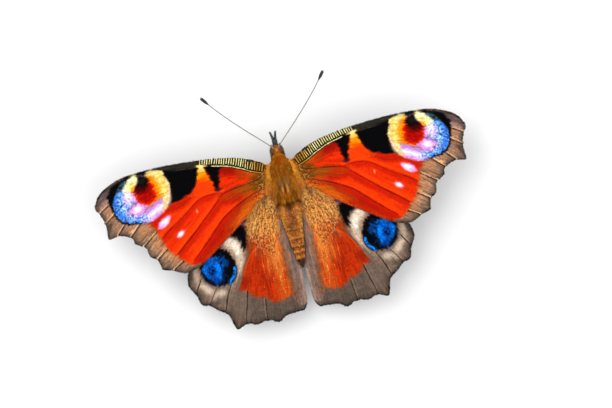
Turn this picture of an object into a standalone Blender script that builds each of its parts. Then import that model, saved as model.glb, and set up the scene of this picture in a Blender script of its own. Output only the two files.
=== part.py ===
"""Peacock butterfly (Aglais io), life size, basking with all four wings spread.

+Y is ahead, +X is the animal's right and +Z is up. Sizes are in millimetres and
are scaled by MM where a mesh is made. The butterfly stands on the plane z = 0,
and its root empty puts the middle of its box over the world origin.
Only the right side is described; the left side is its mirror image.
"""
import math

import bmesh
import bpy
import numpy as np
from mathutils import Vector
from mathutils.geometry import delaunay_2d_cdt

MM = 0.001
GAP = 0.25             # clear space between two neighbouring nodes

# ---------------------------------------------------------------- body sizes
# Each station of a loft: y, half width, height of the centre, half height.
HEAD = (
    (2.65, 0.85, 5.75, 0.85),
    (3.00, 1.05, 5.75, 1.00),
    (3.60, 1.05, 5.72, 1.00),
    (4.05, 0.85, 5.65, 0.88),
    (4.30, 0.62, 5.60, 0.75),
)
THORAX = (
    (2.40, 1.25, 5.75, 1.15),
    (1.90, 1.50, 5.80, 1.45),
    (0.90, 2.00, 5.90, 1.95),
    (-0.60, 2.50, 6.00, 2.30),
    (-2.20, 2.60, 6.00, 2.40),
    (-3.80, 2.40, 5.95, 2.25),
    (-5.00, 2.05, 5.85, 1.95),
    (-5.90, 1.65, 5.75, 1.60),
)
ABDOMEN = (
    (-6.15, 1.55, 5.70, 1.55),
    (-7.30, 1.90, 5.65, 1.80),
    (-8.80, 1.80, 5.55, 1.75),
    (-10.30, 1.55, 5.45, 1.55),
    (-11.80, 1.30, 5.30, 1.30),
    (-13.30, 1.05, 5.15, 1.05),
    (-14.60, 0.80, 5.05, 0.80),
    (-15.60, 0.50, 4.95, 0.50),
    (-16.30, 0.16, 4.90, 0.18),
)
BODY_SIDES = 20
ABDOMEN_SIDES = 16
SEGMENTS = 7           # rings of the abdomen behind its first station
GROOVE_DEPTH = 0.08    # of the radius, between two segments
GROOVE_START = 0.08    # of a segment's length, where the groove is deepest
GROOVE_END = 0.3       # of a segment's length, where it has run out
FLANK_LIMIT = 0.95     # of a loft's half height, above which its side counts as upright
SHARP_ANGLE = 40.0     # degrees, above which an edge is shaded sharp

# ---------------------------------------------------------------- head pieces
EYE_SEAT = 0.55        # half width between the flat sides that carry the eyes
EYE_CENTRE = (3.38, 5.80)
EYE_RADII = (0.74, 0.80)
EYE_DEPTH = 0.42
EYE_SHARES = (0.0, 0.35, 0.7, 0.95)    # of its depth, one ring each
EYE_SIDES = 16
ANTENNA_SEAT = (0.62, 4.12, 6.55)
ANTENNA_TIP = (10.40, 14.60, 9.00)
ANTENNA_RADIUS = 0.25
ANTENNA_BOW = 0.25     # outward bend towards its middle
ANTENNA_SIDES = 6
CLUB_RADIUS = 0.36
CLUB_LENGTH = 2.1
SCAPE_RADIUS = 0.30    # first joint of the antenna, fused to the head
SCAPE_LENGTH = 0.70
PALP_BASE = (0.36, 4.55, 5.85)
PALP_TIP = (0.46, 6.40, 6.15)
PALP_RADII = (0.24, 0.36)
PALP_SIDES = 10
COIL_CENTRE = (5.12, 4.72)
COIL_RADIUS = 0.55
COIL_WIDTH = 0.50
COIL_SIDES = 18

# ---------------------------------------------------------------- legs
# Seat on the thorax, end of the coxa, knee, ankle and toe of each walking leg.
LEGS = {
    "mid": ((0.60, -1.50, 4.60), (1.95, -1.25, 3.75), (5.40, 0.20, 5.20),
            (7.70, 1.20, 0.55), (10.70, 2.60, 0.20)),
    "hind": ((0.60, -3.40, 4.60), (1.80, -4.10, 3.70), (4.90, -6.80, 4.70),
             (6.70, -10.40, 0.55), (7.70, -14.00, 0.20)),
}
COXA_RADIUS = 0.45
FEMUR_RADII = (0.40, 0.34)
TIBIA_RADII = (0.31, 0.27)
TARSUS_WIDTH = 0.50
TARSUS_HEIGHT = 0.48
TOE_HEIGHT = 0.30
LEG_SIDES = 8
FORELEG = ((0.80, 1.50, 4.75), (0.82, 1.75, 4.15), (0.92, 2.90, 3.98), (0.70, 4.10, 4.10))
FORELEG_RADII = (0.32, 0.30, 0.27)

# ---------------------------------------------------------------- wings
WING_THICKNESS = 0.50
RIDGE_TOP = 0.20       # height of a vein over the upper face
RIDGE_UNDER = 0.10     # and under the lower face
RIDGE_HALF_WIDTH = 0.32
WING_ROOT_Z = 7.20
WING_RISE = 0.070      # climb of the wing per millimetre of span
WING_BOW = 0.0011      # fall with the square of the span
WING_FALL = 0.0030     # fall with the square of the distance behind y = 0
WING_STACK = WING_THICKNESS + RIDGE_TOP + RIDGE_UNDER + GAP   # forewing over hindwing
GUTTER_DROP = 2.0      # fold of the hindwing down beside the abdomen
GUTTER_WIDTH = 4.5
GUTTER_START = (-4.0, -8.0)
MARGIN_STEP = 0.5      # between two points along the scalloped margin
INNER_STEP = 1.0       # along the hindwing's inner edge
PLAIN_STEP = 2.2       # along the costa and the rear edge
VEIN_STEP = 3.2
FIELD_STEP = 2.4       # spacing of the points that carry the membrane's curve
WELD = 0.05            # plan points nearer than this are one
ROOT_PASSES = 4        # rounds in which a root point settles at the body's side

FOREWING_ROOT = (-2.50, 1.20, 5)     # y of its rear and front end, number of points
FOREWING_COSTA = ((3.0, 2.00), (5.15, 3.02), (8.0, 3.85), (13.0, 4.57), (20.0, 4.92),
                  (26.0, 4.50), (29.9, 2.80), (31.19, 0.82))
FOREWING_MARGIN = ((31.0, 0.15), (30.4, -0.95), (30.05, -2.8), (30.13, -4.5), (29.85, -4.87),
                   (28.3, -4.6), (26.97, -5.06), (26.2, -5.55), (25.9, -6.55), (24.5, -7.4),
                   (24.2, -8.35), (24.0, -9.12), (23.0, -9.85), (22.72, -10.7), (22.45, -11.62),
                   (20.9, -12.15), (19.2, -13.0))
FOREWING_REAR = ((18.4, -12.92), (16.2, -12.3), (12.5, -9.9), (8.0, -6.8), (5.2, -4.45))
FOREWING_VEINS = {
    "radius": ((3.4, 0.5), (6.0, 1.65), (9.0, 2.75), (13.0, 3.6), (18.0, 4.1), (23.5, 3.85),
               (28.0, 2.7), (30.6, 0.9)),
    "radius_branch": ((21.0, 3.9), (25.0, 2.2), (28.0, 0.4), (29.9, -1.1)),
    "cell_end": ((13.9, 3.6), (14.9, 2.0), (15.3, 0.2), (14.3, -1.6)),
    "media_1": ((15.0, 1.8), (20.0, 1.2), (25.0, -0.9), (29.5, -4.4)),
    "media_2": ((15.3, 0.2), (20.0, -0.8), (24.0, -2.8), (26.8, -4.7)),
    "cubitus": ((3.2, -0.5), (6.0, -0.9), (9.0, -1.35), (12.5, -1.35), (14.3, -1.6),
                (18.0, -2.6), (22.0, -4.2), (25.5, -6.2)),
    "cubitus_1": ((14.3, -1.6), (17.0, -3.8), (20.5, -6.3), (23.6, -8.7)),
    "cubitus_2": ((10.0, -1.45), (13.0, -4.1), (17.0, -7.4), (22.0, -11.2)),
    "anal": ((3.2, -1.7), (8.0, -3.8), (11.0, -5.7), (14.0, -8.6), (18.3, -12.3)),
}

HINDWING_ROOT = (-5.60, -2.90, 4)
HINDWING_COSTA = ((4.6, -2.1), (8.0, -3.3), (12.5, -6.3), (16.2, -9.6), (18.4, -12.3))
HINDWING_MARGIN = ((18.96, -14.2), (19.02, -15.3), (18.2, -16.9), (17.9, -17.8), (17.55, -18.72),
                   (16.2, -19.2), (15.5, -19.9), (14.75, -20.42), (13.7, -21.3), (13.2, -22.9),
                   (12.7, -23.95), (10.9, -23.4), (9.5, -23.88), (8.0, -23.6), (7.0, -23.7),
                   (5.75, -24.25), (4.4, -23.45), (3.0, -23.36), (1.2, -23.2))
HINDWING_INNER = ((0.62, -22.2), (0.47, -20.5), (0.42, -18.4))
INNER_BESIDE_BODY = (-16.9, -15.5, -14.0, -12.5, -11.0, -9.5, -8.0, -6.6)
HINDWING_VEINS = {
    "subcosta": ((4.0, -2.9), (8.0, -4.6), (13.0, -8.4), (17.0, -12.2), (18.6, -14.6)),
    "radial_sector": ((3.8, -3.7), (7.0, -6.8), (11.0, -9.8), (15.5, -13.4), (17.3, -18.2)),
    "media_1": ((8.3, -9.0), (11.0, -13.0), (13.0, -17.0), (14.7, -20.0)),
    "cell_end": ((7.0, -6.8), (8.3, -9.0), (7.8, -10.9), (6.7, -10.4)),
    "media_2": ((7.8, -10.9), (9.5, -14.8), (11.2, -19.2), (12.4, -23.2)),
    "cubitus": ((3.7, -4.8), (5.2, -7.6), (6.7, -10.4), (7.9, -15.0), (8.9, -19.5), (9.4, -23.4)),
    "cubitus_2": ((5.2, -7.6), (5.5, -12.0), (5.7, -18.0), (5.75, -23.7)),
    "anal": ((3.5, -6.4), (3.3, -12.0), (3.1, -18.0), (3.0, -22.9)),
}

# name: colour, roughness
FINISHES = {
    "forewing_scales": ((0.52, 0.10, 0.04, 1.0), 0.75),
    "hindwing_scales": ((0.36, 0.16, 0.08, 1.0), 0.75),
    "body_fur": ((0.30, 0.15, 0.06, 1.0), 0.9),
    "leg_cuticle": ((0.26, 0.16, 0.09, 1.0), 0.6),
    "antenna_cuticle": ((0.42, 0.36, 0.30, 1.0), 0.5),
    "dark_cuticle": ((0.06, 0.04, 0.03, 1.0), 0.4),
    "eye_cornea": ((0.07, 0.03, 0.02, 1.0), 0.15),
}


# ---------------------------------------------------------------- helpers
def make_material(name):
    """One Principled BSDF of the named finish."""
    found = bpy.data.materials.get(name)
    if found:
        return found
    colour, roughness = FINISHES[name]
    material = bpy.data.materials.new(name)
    material.use_nodes = True
    shader = material.node_tree.nodes["Principled BSDF"]
    shader.inputs["Base Color"].default_value = colour
    shader.inputs["Roughness"].default_value = roughness
    shader.inputs["Metallic"].default_value = 0.0
    material.diffuse_color = colour
    return material


def mesh_object(name, points, faces, finish, side=1):
    """A closed mesh from millimetre points; side -1 gives the mirror image."""
    placed = [(x * side * MM, y * MM, z * MM) for x, y, z in points]
    turned = [tuple(face) if side > 0 else tuple(reversed(face)) for face in faces]
    mesh = bpy.data.meshes.new(name)
    mesh.from_pydata(placed, [], turned)
    mesh.materials.append(make_material(finish))
    mesh.shade_smooth()
    mesh.set_sharp_from_angle(angle=math.radians(SHARP_ANGLE))
    thing = bpy.data.objects.new(name, mesh)
    bpy.context.scene.collection.objects.link(thing)
    return thing


def both_sides(name, points, faces, finish):
    """The right piece and its mirror image on the left."""
    mesh_object(name + "_right", points, faces, finish, 1)
    mesh_object(name + "_left", points, faces, finish, -1)


def skin_rings(rings):
    """Points and faces of a tube through equal rings, closed by flat caps."""
    count = len(rings[0])
    points = [tuple(point) for ring in rings for point in ring]
    faces = [tuple(range(count))]
    for row in range(len(rings) - 1):
        first = row * count
        for i in range(count):
            j = (i + 1) % count
            faces.append((first + i, first + count + i, first + count + j, first + j))
    last = (len(rings) - 1) * count
    faces.append(tuple(reversed(range(last, last + count))))
    return points, faces


def station_at(stations, y):
    """Half width, centre height and half height of a body loft at y."""
    rows = np.array(sorted(stations))
    return [float(np.interp(y, rows[:, 0], rows[:, column])) for column in (1, 2, 3)]


def clear_x(stations, y, z):
    """x that keeps the gap to the side of a body loft at a given height."""
    half_width, centre, half_height = station_at(stations, y)
    part = min(abs(z - centre) / half_height, FLANK_LIMIT)
    return half_width * math.sqrt(1.0 - part * part) + GAP


def body_ring(y, half_width, centre, half_height, sides, seat=None):
    """An upright elliptic ring; seat flattens its two sides."""
    ring = []
    for i in range(sides):
        angle = 2.0 * math.pi * (i + 0.5) / sides
        x = half_width * math.cos(angle)
        if seat is not None:
            x = max(-seat, min(seat, x))
        ring.append((x, y, centre + half_height * math.sin(angle)))
    return ring


def facing(rings):
    """Rings ordered so that skin_rings points the faces out."""
    first, last = (np.mean(rings[i], axis=0) for i in (0, -1))
    across = np.cross(np.subtract(rings[0][1], rings[0][0]), np.subtract(rings[0][2], rings[0][1]))
    return rings if np.dot(across, last - first) < 0 else rings[::-1]


def tube(points, radii, sides, start_plane=None, end_plane=None, flatten=1.0):
    """Rings along a line of points, with the two ends cut along given planes."""
    path = [Vector(point) for point in points]
    rings = []
    for i, centre in enumerate(path):
        before = path[max(i - 1, 0)]
        after = path[min(i + 1, len(path) - 1)]
        along = (after - before).normalized()
        sideways = along.cross(Vector((0.0, 0.0, 1.0))).normalized()
        upward = sideways.cross(along).normalized()
        ring = []
        for k in range(sides):
            angle = 2.0 * math.pi * (k + 0.5) / sides
            ring.append(centre + sideways * (radii[i] * math.cos(angle))
                        + upward * (radii[i] * flatten * math.sin(angle)))
        rings.append(ring)
    ends = ((0, path[1] - path[0], start_plane), (-1, path[-1] - path[-2], end_plane))
    for index, along, plane in ends:
        if plane is not None:
            point, normal = Vector(plane[0]), Vector(plane[1])
            rings[index] = [slide(corner, along, point, normal) for corner in rings[index]]
    return skin_rings(facing(rings))


def slide(corner, along, point, normal):
    """Move a corner along a line until it lies in a plane."""
    return corner + along * ((point - corner).dot(normal) / along.dot(normal))


def fuse(base, pieces):
    """Join closed pieces to a base by one union, and keep its largest surface."""
    group = bpy.data.collections.new(base.name + "_pieces")
    for piece in pieces:
        group.objects.link(piece)
    union = base.modifiers.new("union", "BOOLEAN")
    union.operation = "UNION"
    union.operand_type = "COLLECTION"
    union.collection = group
    union.solver = "EXACT"
    depsgraph = bpy.context.evaluated_depsgraph_get()
    joined = bpy.data.meshes.new_from_object(base.evaluated_get(depsgraph))
    base.modifiers.clear()
    base.data = joined
    for piece in pieces:
        bpy.data.objects.remove(piece)
    bpy.data.collections.remove(group)
    keep_largest(base)


def keep_largest(thing):
    """Delete every closed surface of a mesh but the largest."""
    shape = bmesh.new()
    shape.from_mesh(thing.data)
    left = set(shape.faces)
    islands = []
    while left:
        island, waiting = set(), [left.pop()]
        while waiting:
            face = waiting.pop()
            island.add(face)
            near = {other for edge in face.edges for other in edge.link_faces} & left
            left -= near
            waiting.extend(near)
        islands.append(island)
    islands.sort(key=lambda island: sum(face.calc_area() for face in island))
    scraps = [face for island in islands[:-1] for face in island]
    bmesh.ops.delete(shape, geom=scraps, context="FACES")
    shape.to_mesh(thing.data)
    shape.free()


def flowing(points, step):
    """A smooth curve through points, sampled about every step and at each point."""
    path = [Vector(point) for point in points]
    path = [path[0] * 2 - path[1]] + path + [path[-1] * 2 - path[-2]]
    line = []
    for a, b, c, d in zip(path, path[1:], path[2:], path[3:]):
        count = max(1, round((c - b).length / step))
        for i in range(count):
            t = i / count
            line.append(0.5 * (2 * b + (c - a) * t + (2 * a - 5 * b + 4 * c - d) * t * t
                               + (3 * b - a - 3 * c + d) * t ** 3))
    return line + [path[-2]]


# ---------------------------------------------------------------- body
def make_thorax():
    """The furred thorax with the coxae of all six legs."""
    rings = [body_ring(*station, BODY_SIDES) for station in THORAX]
    thorax = mesh_object("thorax", *skin_rings(facing(rings)), "body_fur")
    coxae = []
    for side in (1, -1):
        for seat, hip, knee, *_ in LEGS.values():
            cut = joint_plane(Vector(seat), Vector(hip), Vector(knee), -GAP / 2)
            shape = tube((seat, hip), (COXA_RADIUS, FEMUR_RADII[0]), LEG_SIDES, None, cut)
            coxae.append(mesh_object("coxa", *shape, "leg_cuticle", side))
        shape = tube(FORELEG[:2], (FORELEG_RADII[0],) * 2, LEG_SIDES)
        coxae.append(mesh_object("coxa", *shape, "leg_cuticle", side))
    fuse(thorax, coxae)


def make_abdomen():
    """The abdomen, with a shallow groove in front of each segment."""
    front, rear = ABDOMEN[1][0], ABDOMEN[-2][0]
    length = (rear - front) / SEGMENTS
    rings = [body_ring(*ABDOMEN[0], ABDOMEN_SIDES)]
    for segment in range(SEGMENTS):
        start = front + length * segment
        for share, depth in ((0.0, 0.0), (GROOVE_START, GROOVE_DEPTH), (GROOVE_END, 0.0)):
            y = start + length * share
            half_width, centre, half_height = station_at(ABDOMEN, y)
            slim = 1.0 - depth
            rings.append(body_ring(y, half_width * slim, centre, half_height * slim, ABDOMEN_SIDES))
    for station in ABDOMEN[-2:]:
        rings.append(body_ring(*station, ABDOMEN_SIDES))
    mesh_object("abdomen", *skin_rings(facing(rings)), "body_fur")


def antenna_direction():
    """Unit vector from the antenna's seat to its tip."""
    return (Vector(ANTENNA_TIP) - Vector(ANTENNA_SEAT)).normalized()


def make_head():
    """The head, flat where the eyes sit, with the first joint of each antenna."""
    rings = [body_ring(*station, BODY_SIDES, EYE_SEAT) for station in HEAD]
    head = mesh_object("head", *skin_rings(facing(rings)), "body_fur")
    seat = Vector(ANTENNA_SEAT)
    start = seat - antenna_direction() * SCAPE_LENGTH
    scapes = []
    for side in (1, -1):
        shape = tube((start, seat), (SCAPE_RADIUS,) * 2, LEG_SIDES)
        scapes.append(mesh_object("scape", *shape, "antenna_cuticle", side))
    fuse(head, scapes)


def make_eyes():
    """Two domes on the flat sides of the head."""
    base = EYE_SEAT + GAP
    rings = []
    for share in EYE_SHARES:
        radius = math.sqrt(1.0 - share * share)
        ring = []
        for i in range(EYE_SIDES):
            angle = 2.0 * math.pi * i / EYE_SIDES
            ring.append((base + EYE_DEPTH * share,
                         EYE_CENTRE[0] + EYE_RADII[0] * radius * math.cos(angle),
                         EYE_CENTRE[1] + EYE_RADII[1] * radius * math.sin(angle)))
        rings.append(ring)
    both_sides("eye", *skin_rings(facing(rings)), "eye_cornea")


def make_antennae():
    """Slender shafts that end in a club."""
    start = Vector(ANTENNA_SEAT) + antenna_direction() * GAP
    tip = Vector(ANTENNA_TIP)
    length = (tip - start).length
    shares = [0.0, 0.12, 0.25, 0.38, 0.5, 0.62, 0.74]
    club = [1.0 - CLUB_LENGTH / length * part for part in (1.25, 1.0, 0.7, 0.35, 0.12, 0.0)]
    radii = [ANTENNA_RADIUS] * (len(shares) + 1) + [
        CLUB_RADIUS * part for part in (0.8, 1.0, 1.0, 0.75, 0.3)]
    outward = Vector((tip.y - start.y, start.x - tip.x, 0.0)).normalized()
    path = []
    for share in shares + club:
        bow = 4.0 * share * (1.0 - share) * ANTENNA_BOW * share
        path.append(start.lerp(tip, share) + outward * bow)
    both_sides("antenna", *tube(path, radii, ANTENNA_SIDES), "antenna_cuticle")


def make_palps():
    """Two scaly palps that point ahead, closed flat against the head's face."""
    base, tip = Vector(PALP_BASE), Vector(PALP_TIP)
    path = [base.lerp(tip, share) for share in (0.0, 0.3, 0.6, 0.85, 1.0)]
    radii = [PALP_RADII[0] * part for part in (1.0, 1.1, 0.95, 0.65, 0.25)]
    flatten = PALP_RADII[1] / PALP_RADII[0]
    shape = tube(path, radii, PALP_SIDES, (base, (0.0, 1.0, 0.0)), None, flatten)
    both_sides("palp", *shape, "dark_cuticle")


def make_proboscis():
    """The coiled tongue, a thick disc under the palps."""
    half = COIL_WIDTH / 2.0
    rings = []
    for x in (-half, half):
        ring = []
        for i in range(COIL_SIDES):
            angle = 2.0 * math.pi * i / COIL_SIDES
            ring.append((x, COIL_CENTRE[0] + COIL_RADIUS * math.cos(angle),
                         COIL_CENTRE[1] + COIL_RADIUS * math.sin(angle)))
        rings.append(ring)
    mesh_object("proboscis", *skin_rings(facing(rings)), "dark_cuticle")


# ---------------------------------------------------------------- legs
def joint_plane(before, joint, after, shift):
    """Plane that halves the angle at a joint, moved along the leg by shift."""
    normal = ((joint - before).normalized() + (after - joint).normalized()).normalized()
    return joint + normal * shift, normal


def make_walking_leg(name, *joints):
    """Femur, tibia and tarsus, each parted from the next by the gap."""
    seat, hip, knee, ankle, toe = (Vector(joint) for joint in joints)
    hip_after = joint_plane(seat, hip, knee, GAP / 2)
    knee_before = joint_plane(hip, knee, ankle, -GAP / 2)
    knee_after = joint_plane(hip, knee, ankle, GAP / 2)
    ankle_before = joint_plane(knee, ankle, toe, -GAP / 2)
    ankle_after = joint_plane(knee, ankle, toe, GAP / 2)
    femur = tube((hip, hip.lerp(knee, 0.4), knee),
                 (FEMUR_RADII[0], FEMUR_RADII[0], FEMUR_RADII[1]),
                 LEG_SIDES, hip_after, knee_before)
    both_sides(name + "_femur", *femur, "leg_cuticle")
    tibia = tube((knee, knee.lerp(ankle, 0.5), ankle),
                 (TIBIA_RADII[0], TIBIA_RADII[1], TIBIA_RADII[1]),
                 LEG_SIDES, knee_after, ankle_before)
    both_sides(name + "_tibia", *tibia, "leg_cuticle")
    both_sides(name + "_tarsus", *tarsus_shape(ankle, toe, ankle_after), "leg_cuticle")


def tarsus_shape(ankle, toe, start_plane):
    """A foot that lies flat on z = 0, lower towards its claws."""
    flat_ankle, flat_toe = Vector((ankle.x, ankle.y, 0.0)), Vector((toe.x, toe.y, 0.0))
    along = (flat_toe - flat_ankle).normalized()
    sideways = Vector((along.y, -along.x, 0.0))
    rings = []
    for share, height, width in ((0.0, TARSUS_HEIGHT, 1.0), (0.5, TARSUS_HEIGHT, 1.0),
                                 (0.85, TARSUS_HEIGHT, 1.1), (1.0, TOE_HEIGHT, 0.6)):
        centre = flat_ankle.lerp(flat_toe, share)
        half = TARSUS_WIDTH / 2.0 * width
        section = ((-0.8, 0.0), (0.8, 0.0), (1.0, 0.3), (1.0, 0.6), (0.55, 1.0), (-0.55, 1.0),
                   (-1.0, 0.6), (-1.0, 0.3))
        rings.append([centre + sideways * (half * across) + Vector((0.0, 0.0, height * up))
                      for across, up in section])
    point, normal = start_plane
    rings[0] = [slide(corner, along, point, normal) for corner in rings[0]]
    return skin_rings(facing(rings))


def make_forelegs():
    """The short brush feet, folded forward under the head."""
    path = [Vector(point) for point in FORELEG]
    normal = (path[1] - path[0]).normalized()
    start = path[1] + normal * GAP
    shape = tube([start] + path[2:], FORELEG_RADII, LEG_SIDES, (start, normal))
    both_sides("foreleg", *shape, "leg_cuticle")


# ---------------------------------------------------------------- wings
def smooth_step(value, start, end):
    """0 at start, 1 at end, smooth between."""
    t = min(max((value - start) / (end - start), 0.0), 1.0)
    return t * t * (3.0 - 2.0 * t)


def forewing_height(x, y):
    """Middle surface of the forewing."""
    behind = max(0.0, -y)
    return WING_ROOT_Z + WING_RISE * x - WING_BOW * x * x - WING_FALL * behind * behind


def hindwing_height(x, y):
    """Middle surface of the hindwing: under the forewing, folded down by the body."""
    fold = max(0.0, 1.0 - x / GUTTER_WIDTH) ** 2 * smooth_step(y, *GUTTER_START)
    return forewing_height(x, y) - WING_STACK - GUTTER_DROP * fold


def vein_distance(x, y, lines):
    """Distance from a point to the nearest vein."""
    point = Vector((x, y))
    nearest = 1e9
    for line in lines:
        for a, b in zip(line, line[1:]):
            along = b - a
            t = min(max((point - a).dot(along) / along.length_squared, 0.0), 1.0)
            nearest = min(nearest, (point - a - along * t).length)
    return nearest


def vein_feet(line, edge):
    """The two lines where a ridge meets the membrane, inside the wing's edge."""
    feet = []
    for sign in (1, -1):
        foot = []
        for i, point in enumerate(line):
            along = (line[min(i + 1, len(line) - 1)] - line[max(i - 1, 0)]).normalized()
            foot.append(point + Vector((-along.y, along.x)) * (sign * RIDGE_HALF_WIDTH))
        feet.append([point for point in foot if inside(point, edge)])
    return [foot for foot in feet if len(foot) > 1]


def inside(point, edge):
    """Whether a point lies inside a closed line."""
    odd = False
    for a, b in zip(edge, edge[1:] + edge[:1]):
        if (a.y > point.y) != (b.y > point.y):
            if point.x < a.x + (point.y - a.y) / (b.y - a.y) * (b.x - a.x):
                odd = not odd
    return odd


def edge_distance(point, edge):
    """Distance from a point to a closed line."""
    return vein_distance(point.x, point.y, [edge + edge[:1]])


def field_points(edge, lines):
    """An even field of points, clear of the edge and the veins."""
    xs, ys = [p.x for p in edge], [p.y for p in edge]
    points = []
    for row, y in enumerate(np.arange(min(ys), max(ys), FIELD_STEP)):
        for x in np.arange(min(xs) + FIELD_STEP / 2 * (row % 2), max(xs), FIELD_STEP):
            point = Vector((float(x), float(y)))
            if inside(point, edge) and edge_distance(point, edge) > FIELD_STEP / 3:
                if vein_distance(point.x, point.y, lines) > FIELD_STEP / 2.5:
                    points.append(point)
    return points


def wing_plan(edge, veins):
    """Triangles of the planform, with an edge along every vein and its feet."""
    lines = [flowing(points, VEIN_STEP) for points in veins.values()]
    points = list(edge)
    edges = [(i, (i + 1) % len(edge)) for i in range(len(edge))]
    ridges = lines + [foot for line in lines for foot in vein_feet(line, edge)]
    for line in ridges:
        first = len(points)
        points.extend(line)
        edges.extend((first + i, first + i + 1) for i in range(len(line) - 1))
    points.extend(field_points(edge, lines))
    plan, _, faces, origins, _, _ = delaunay_2d_cdt(points, edges, [list(range(len(edge)))], 1, WELD)
    border = {i: min(source) for i, source in enumerate(origins) if source and min(source) < len(edge)}
    return [Vector(point) for point in plan], [list(face) for face in faces], border, lines


def wing_shell(edge, veins, height, body_side):
    """Closed wing: alike triangles above and below, and a rim between them."""
    plan, faces, border, lines = wing_plan(edge, veins)
    count = len(plan)
    points = []
    for sign, ridge in ((1, RIDGE_TOP), (-1, RIDGE_UNDER)):
        for i, point in enumerate(plan):
            lift = ridge * max(0.0, 1.0 - vein_distance(point.x, point.y, lines) / RIDGE_HALF_WIDTH)
            z = height(point.x, point.y) + sign * (WING_THICKNESS / 2.0 + lift)
            x = point.x
            if i in border and border[i] in body_side:
                x = clear_x(body_side[border[i]], point.y, z)
            points.append((x, point.y, z))
    upward = [face if turn(plan, face) > 0 else face[::-1] for face in faces]
    shell = upward + [[i + count for i in reversed(face)] for face in upward]
    used = {(face[i], face[(i + 1) % 3]) for face in upward for i in range(3)}
    for a, b in sorted(used):
        if (b, a) not in used:
            shell.append([b, a, a + count])
            shell.append([b, a + count, b + count])
    return points, shell


def turn(plan, face):
    """Positive where a flat triangle runs anticlockwise."""
    a, b, c = (plan[i] for i in face)
    return (b - a).cross(c - a)


def root_line(rows, stations, height):
    """Points along the side of the body, at the height of the wing there."""
    line = []
    for y in rows:
        x = station_at(stations, y)[0]
        for _ in range(ROOT_PASSES):
            x = clear_x(stations, y, height(x, y))
        line.append(Vector((x, y)))
    return line


def make_forewings():
    """Forewings: straight costa, hooked apex, scalloped outer margin."""
    root = root_line(np.linspace(*FOREWING_ROOT), THORAX, forewing_height)
    costa = flowing([root[-1]] + [Vector(p) for p in FOREWING_COSTA], PLAIN_STEP)[1:]
    margin = flowing([costa[-1]] + [Vector(p) for p in FOREWING_MARGIN], MARGIN_STEP)[1:]
    rear = flowing([margin[-1]] + [Vector(p) for p in FOREWING_REAR] + [root[0]], PLAIN_STEP)
    edge = root + costa + margin + rear[1:-1]
    body_side = {i: THORAX for i in range(len(root))}
    both_sides("forewing", *wing_shell(edge, FOREWING_VEINS, forewing_height, body_side),
               "forewing_scales")


def make_hindwings():
    """Hindwings: toothed outer margin with a short tail, and an inner gutter."""
    root = root_line(np.linspace(*HINDWING_ROOT), THORAX, hindwing_height)
    costa = flowing([root[-1]] + [Vector(p) for p in HINDWING_COSTA], PLAIN_STEP)[1:]
    margin = flowing([costa[-1]] + [Vector(p) for p in HINDWING_MARGIN], MARGIN_STEP)[1:]
    inner = flowing([margin[-1]] + [Vector(p) for p in HINDWING_INNER], INNER_STEP)[1:]
    beside = root_line(INNER_BESIDE_BODY, ABDOMEN, hindwing_height)
    edge = root + costa + margin + inner + beside
    body_side = {i: THORAX for i in range(len(root))}
    first = len(edge) - len(beside)
    body_side.update({first + i: ABDOMEN for i in range(len(beside))})
    both_sides("hindwing", *wing_shell(edge, HINDWING_VEINS, hindwing_height, body_side),
               "hindwing_scales")


# ---------------------------------------------------------------- assembly
def stand_on_origin():
    """Parent every piece to an empty that puts the box's bottom centre at the origin."""
    pieces = [thing for thing in bpy.data.objects if thing.type == "MESH"]
    corners = np.array([vertex.co for piece in pieces for vertex in piece.data.vertices])
    low, high = corners.min(axis=0), corners.max(axis=0)
    root = bpy.data.objects.new("butterfly", None)
    bpy.context.scene.collection.objects.link(root)
    root.location = (0.0, float(-(low[1] + high[1]) / 2.0), float(-low[2]))
    for piece in pieces:
        piece.parent = root


def main():
    for old in list(bpy.data.objects):
        bpy.data.objects.remove(old, do_unlink=True)
    make_thorax()
    make_abdomen()
    make_head()
    make_eyes()
    make_antennae()
    make_palps()
    make_proboscis()
    for name, joints in LEGS.items():
        make_walking_leg("leg_" + name, *joints)
    make_forelegs()
    make_forewings()
    make_hindwings()
    stand_on_origin()


main()
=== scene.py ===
"""Looks of the peacock butterfly: skins, scales, hair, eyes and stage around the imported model.

Shapes are worked out in millimetres in the plan of the butterfly: x outward on the
right side, y ahead, z up from the floor. place() turns them into the frame's metres.
Only the right side is described; the left side is its mirror image.
"""
import math

import bpy
import numpy as np
from mathutils.geometry import delaunay_2d_cdt
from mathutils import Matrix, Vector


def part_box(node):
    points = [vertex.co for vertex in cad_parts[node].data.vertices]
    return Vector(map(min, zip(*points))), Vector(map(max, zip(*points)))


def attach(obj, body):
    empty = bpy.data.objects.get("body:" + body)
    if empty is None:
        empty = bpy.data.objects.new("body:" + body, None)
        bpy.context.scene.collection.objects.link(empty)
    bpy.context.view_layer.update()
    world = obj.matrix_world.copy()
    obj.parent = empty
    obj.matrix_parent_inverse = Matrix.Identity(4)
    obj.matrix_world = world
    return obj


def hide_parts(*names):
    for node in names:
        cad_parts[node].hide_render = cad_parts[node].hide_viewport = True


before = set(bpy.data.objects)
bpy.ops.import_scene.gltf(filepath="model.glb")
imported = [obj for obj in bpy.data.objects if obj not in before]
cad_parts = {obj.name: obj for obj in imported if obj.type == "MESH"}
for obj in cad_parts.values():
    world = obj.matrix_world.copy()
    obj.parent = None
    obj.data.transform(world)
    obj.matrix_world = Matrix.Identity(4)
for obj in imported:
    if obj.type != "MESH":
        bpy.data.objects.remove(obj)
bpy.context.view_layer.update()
BODY = "root"

MM = 0.001
TURN = 2 * math.pi
ABDOMEN_END = -16.30
PLAN_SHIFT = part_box("abdomen")[0].y / MM - ABDOMEN_END   # the plan's origin in the frame

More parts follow.
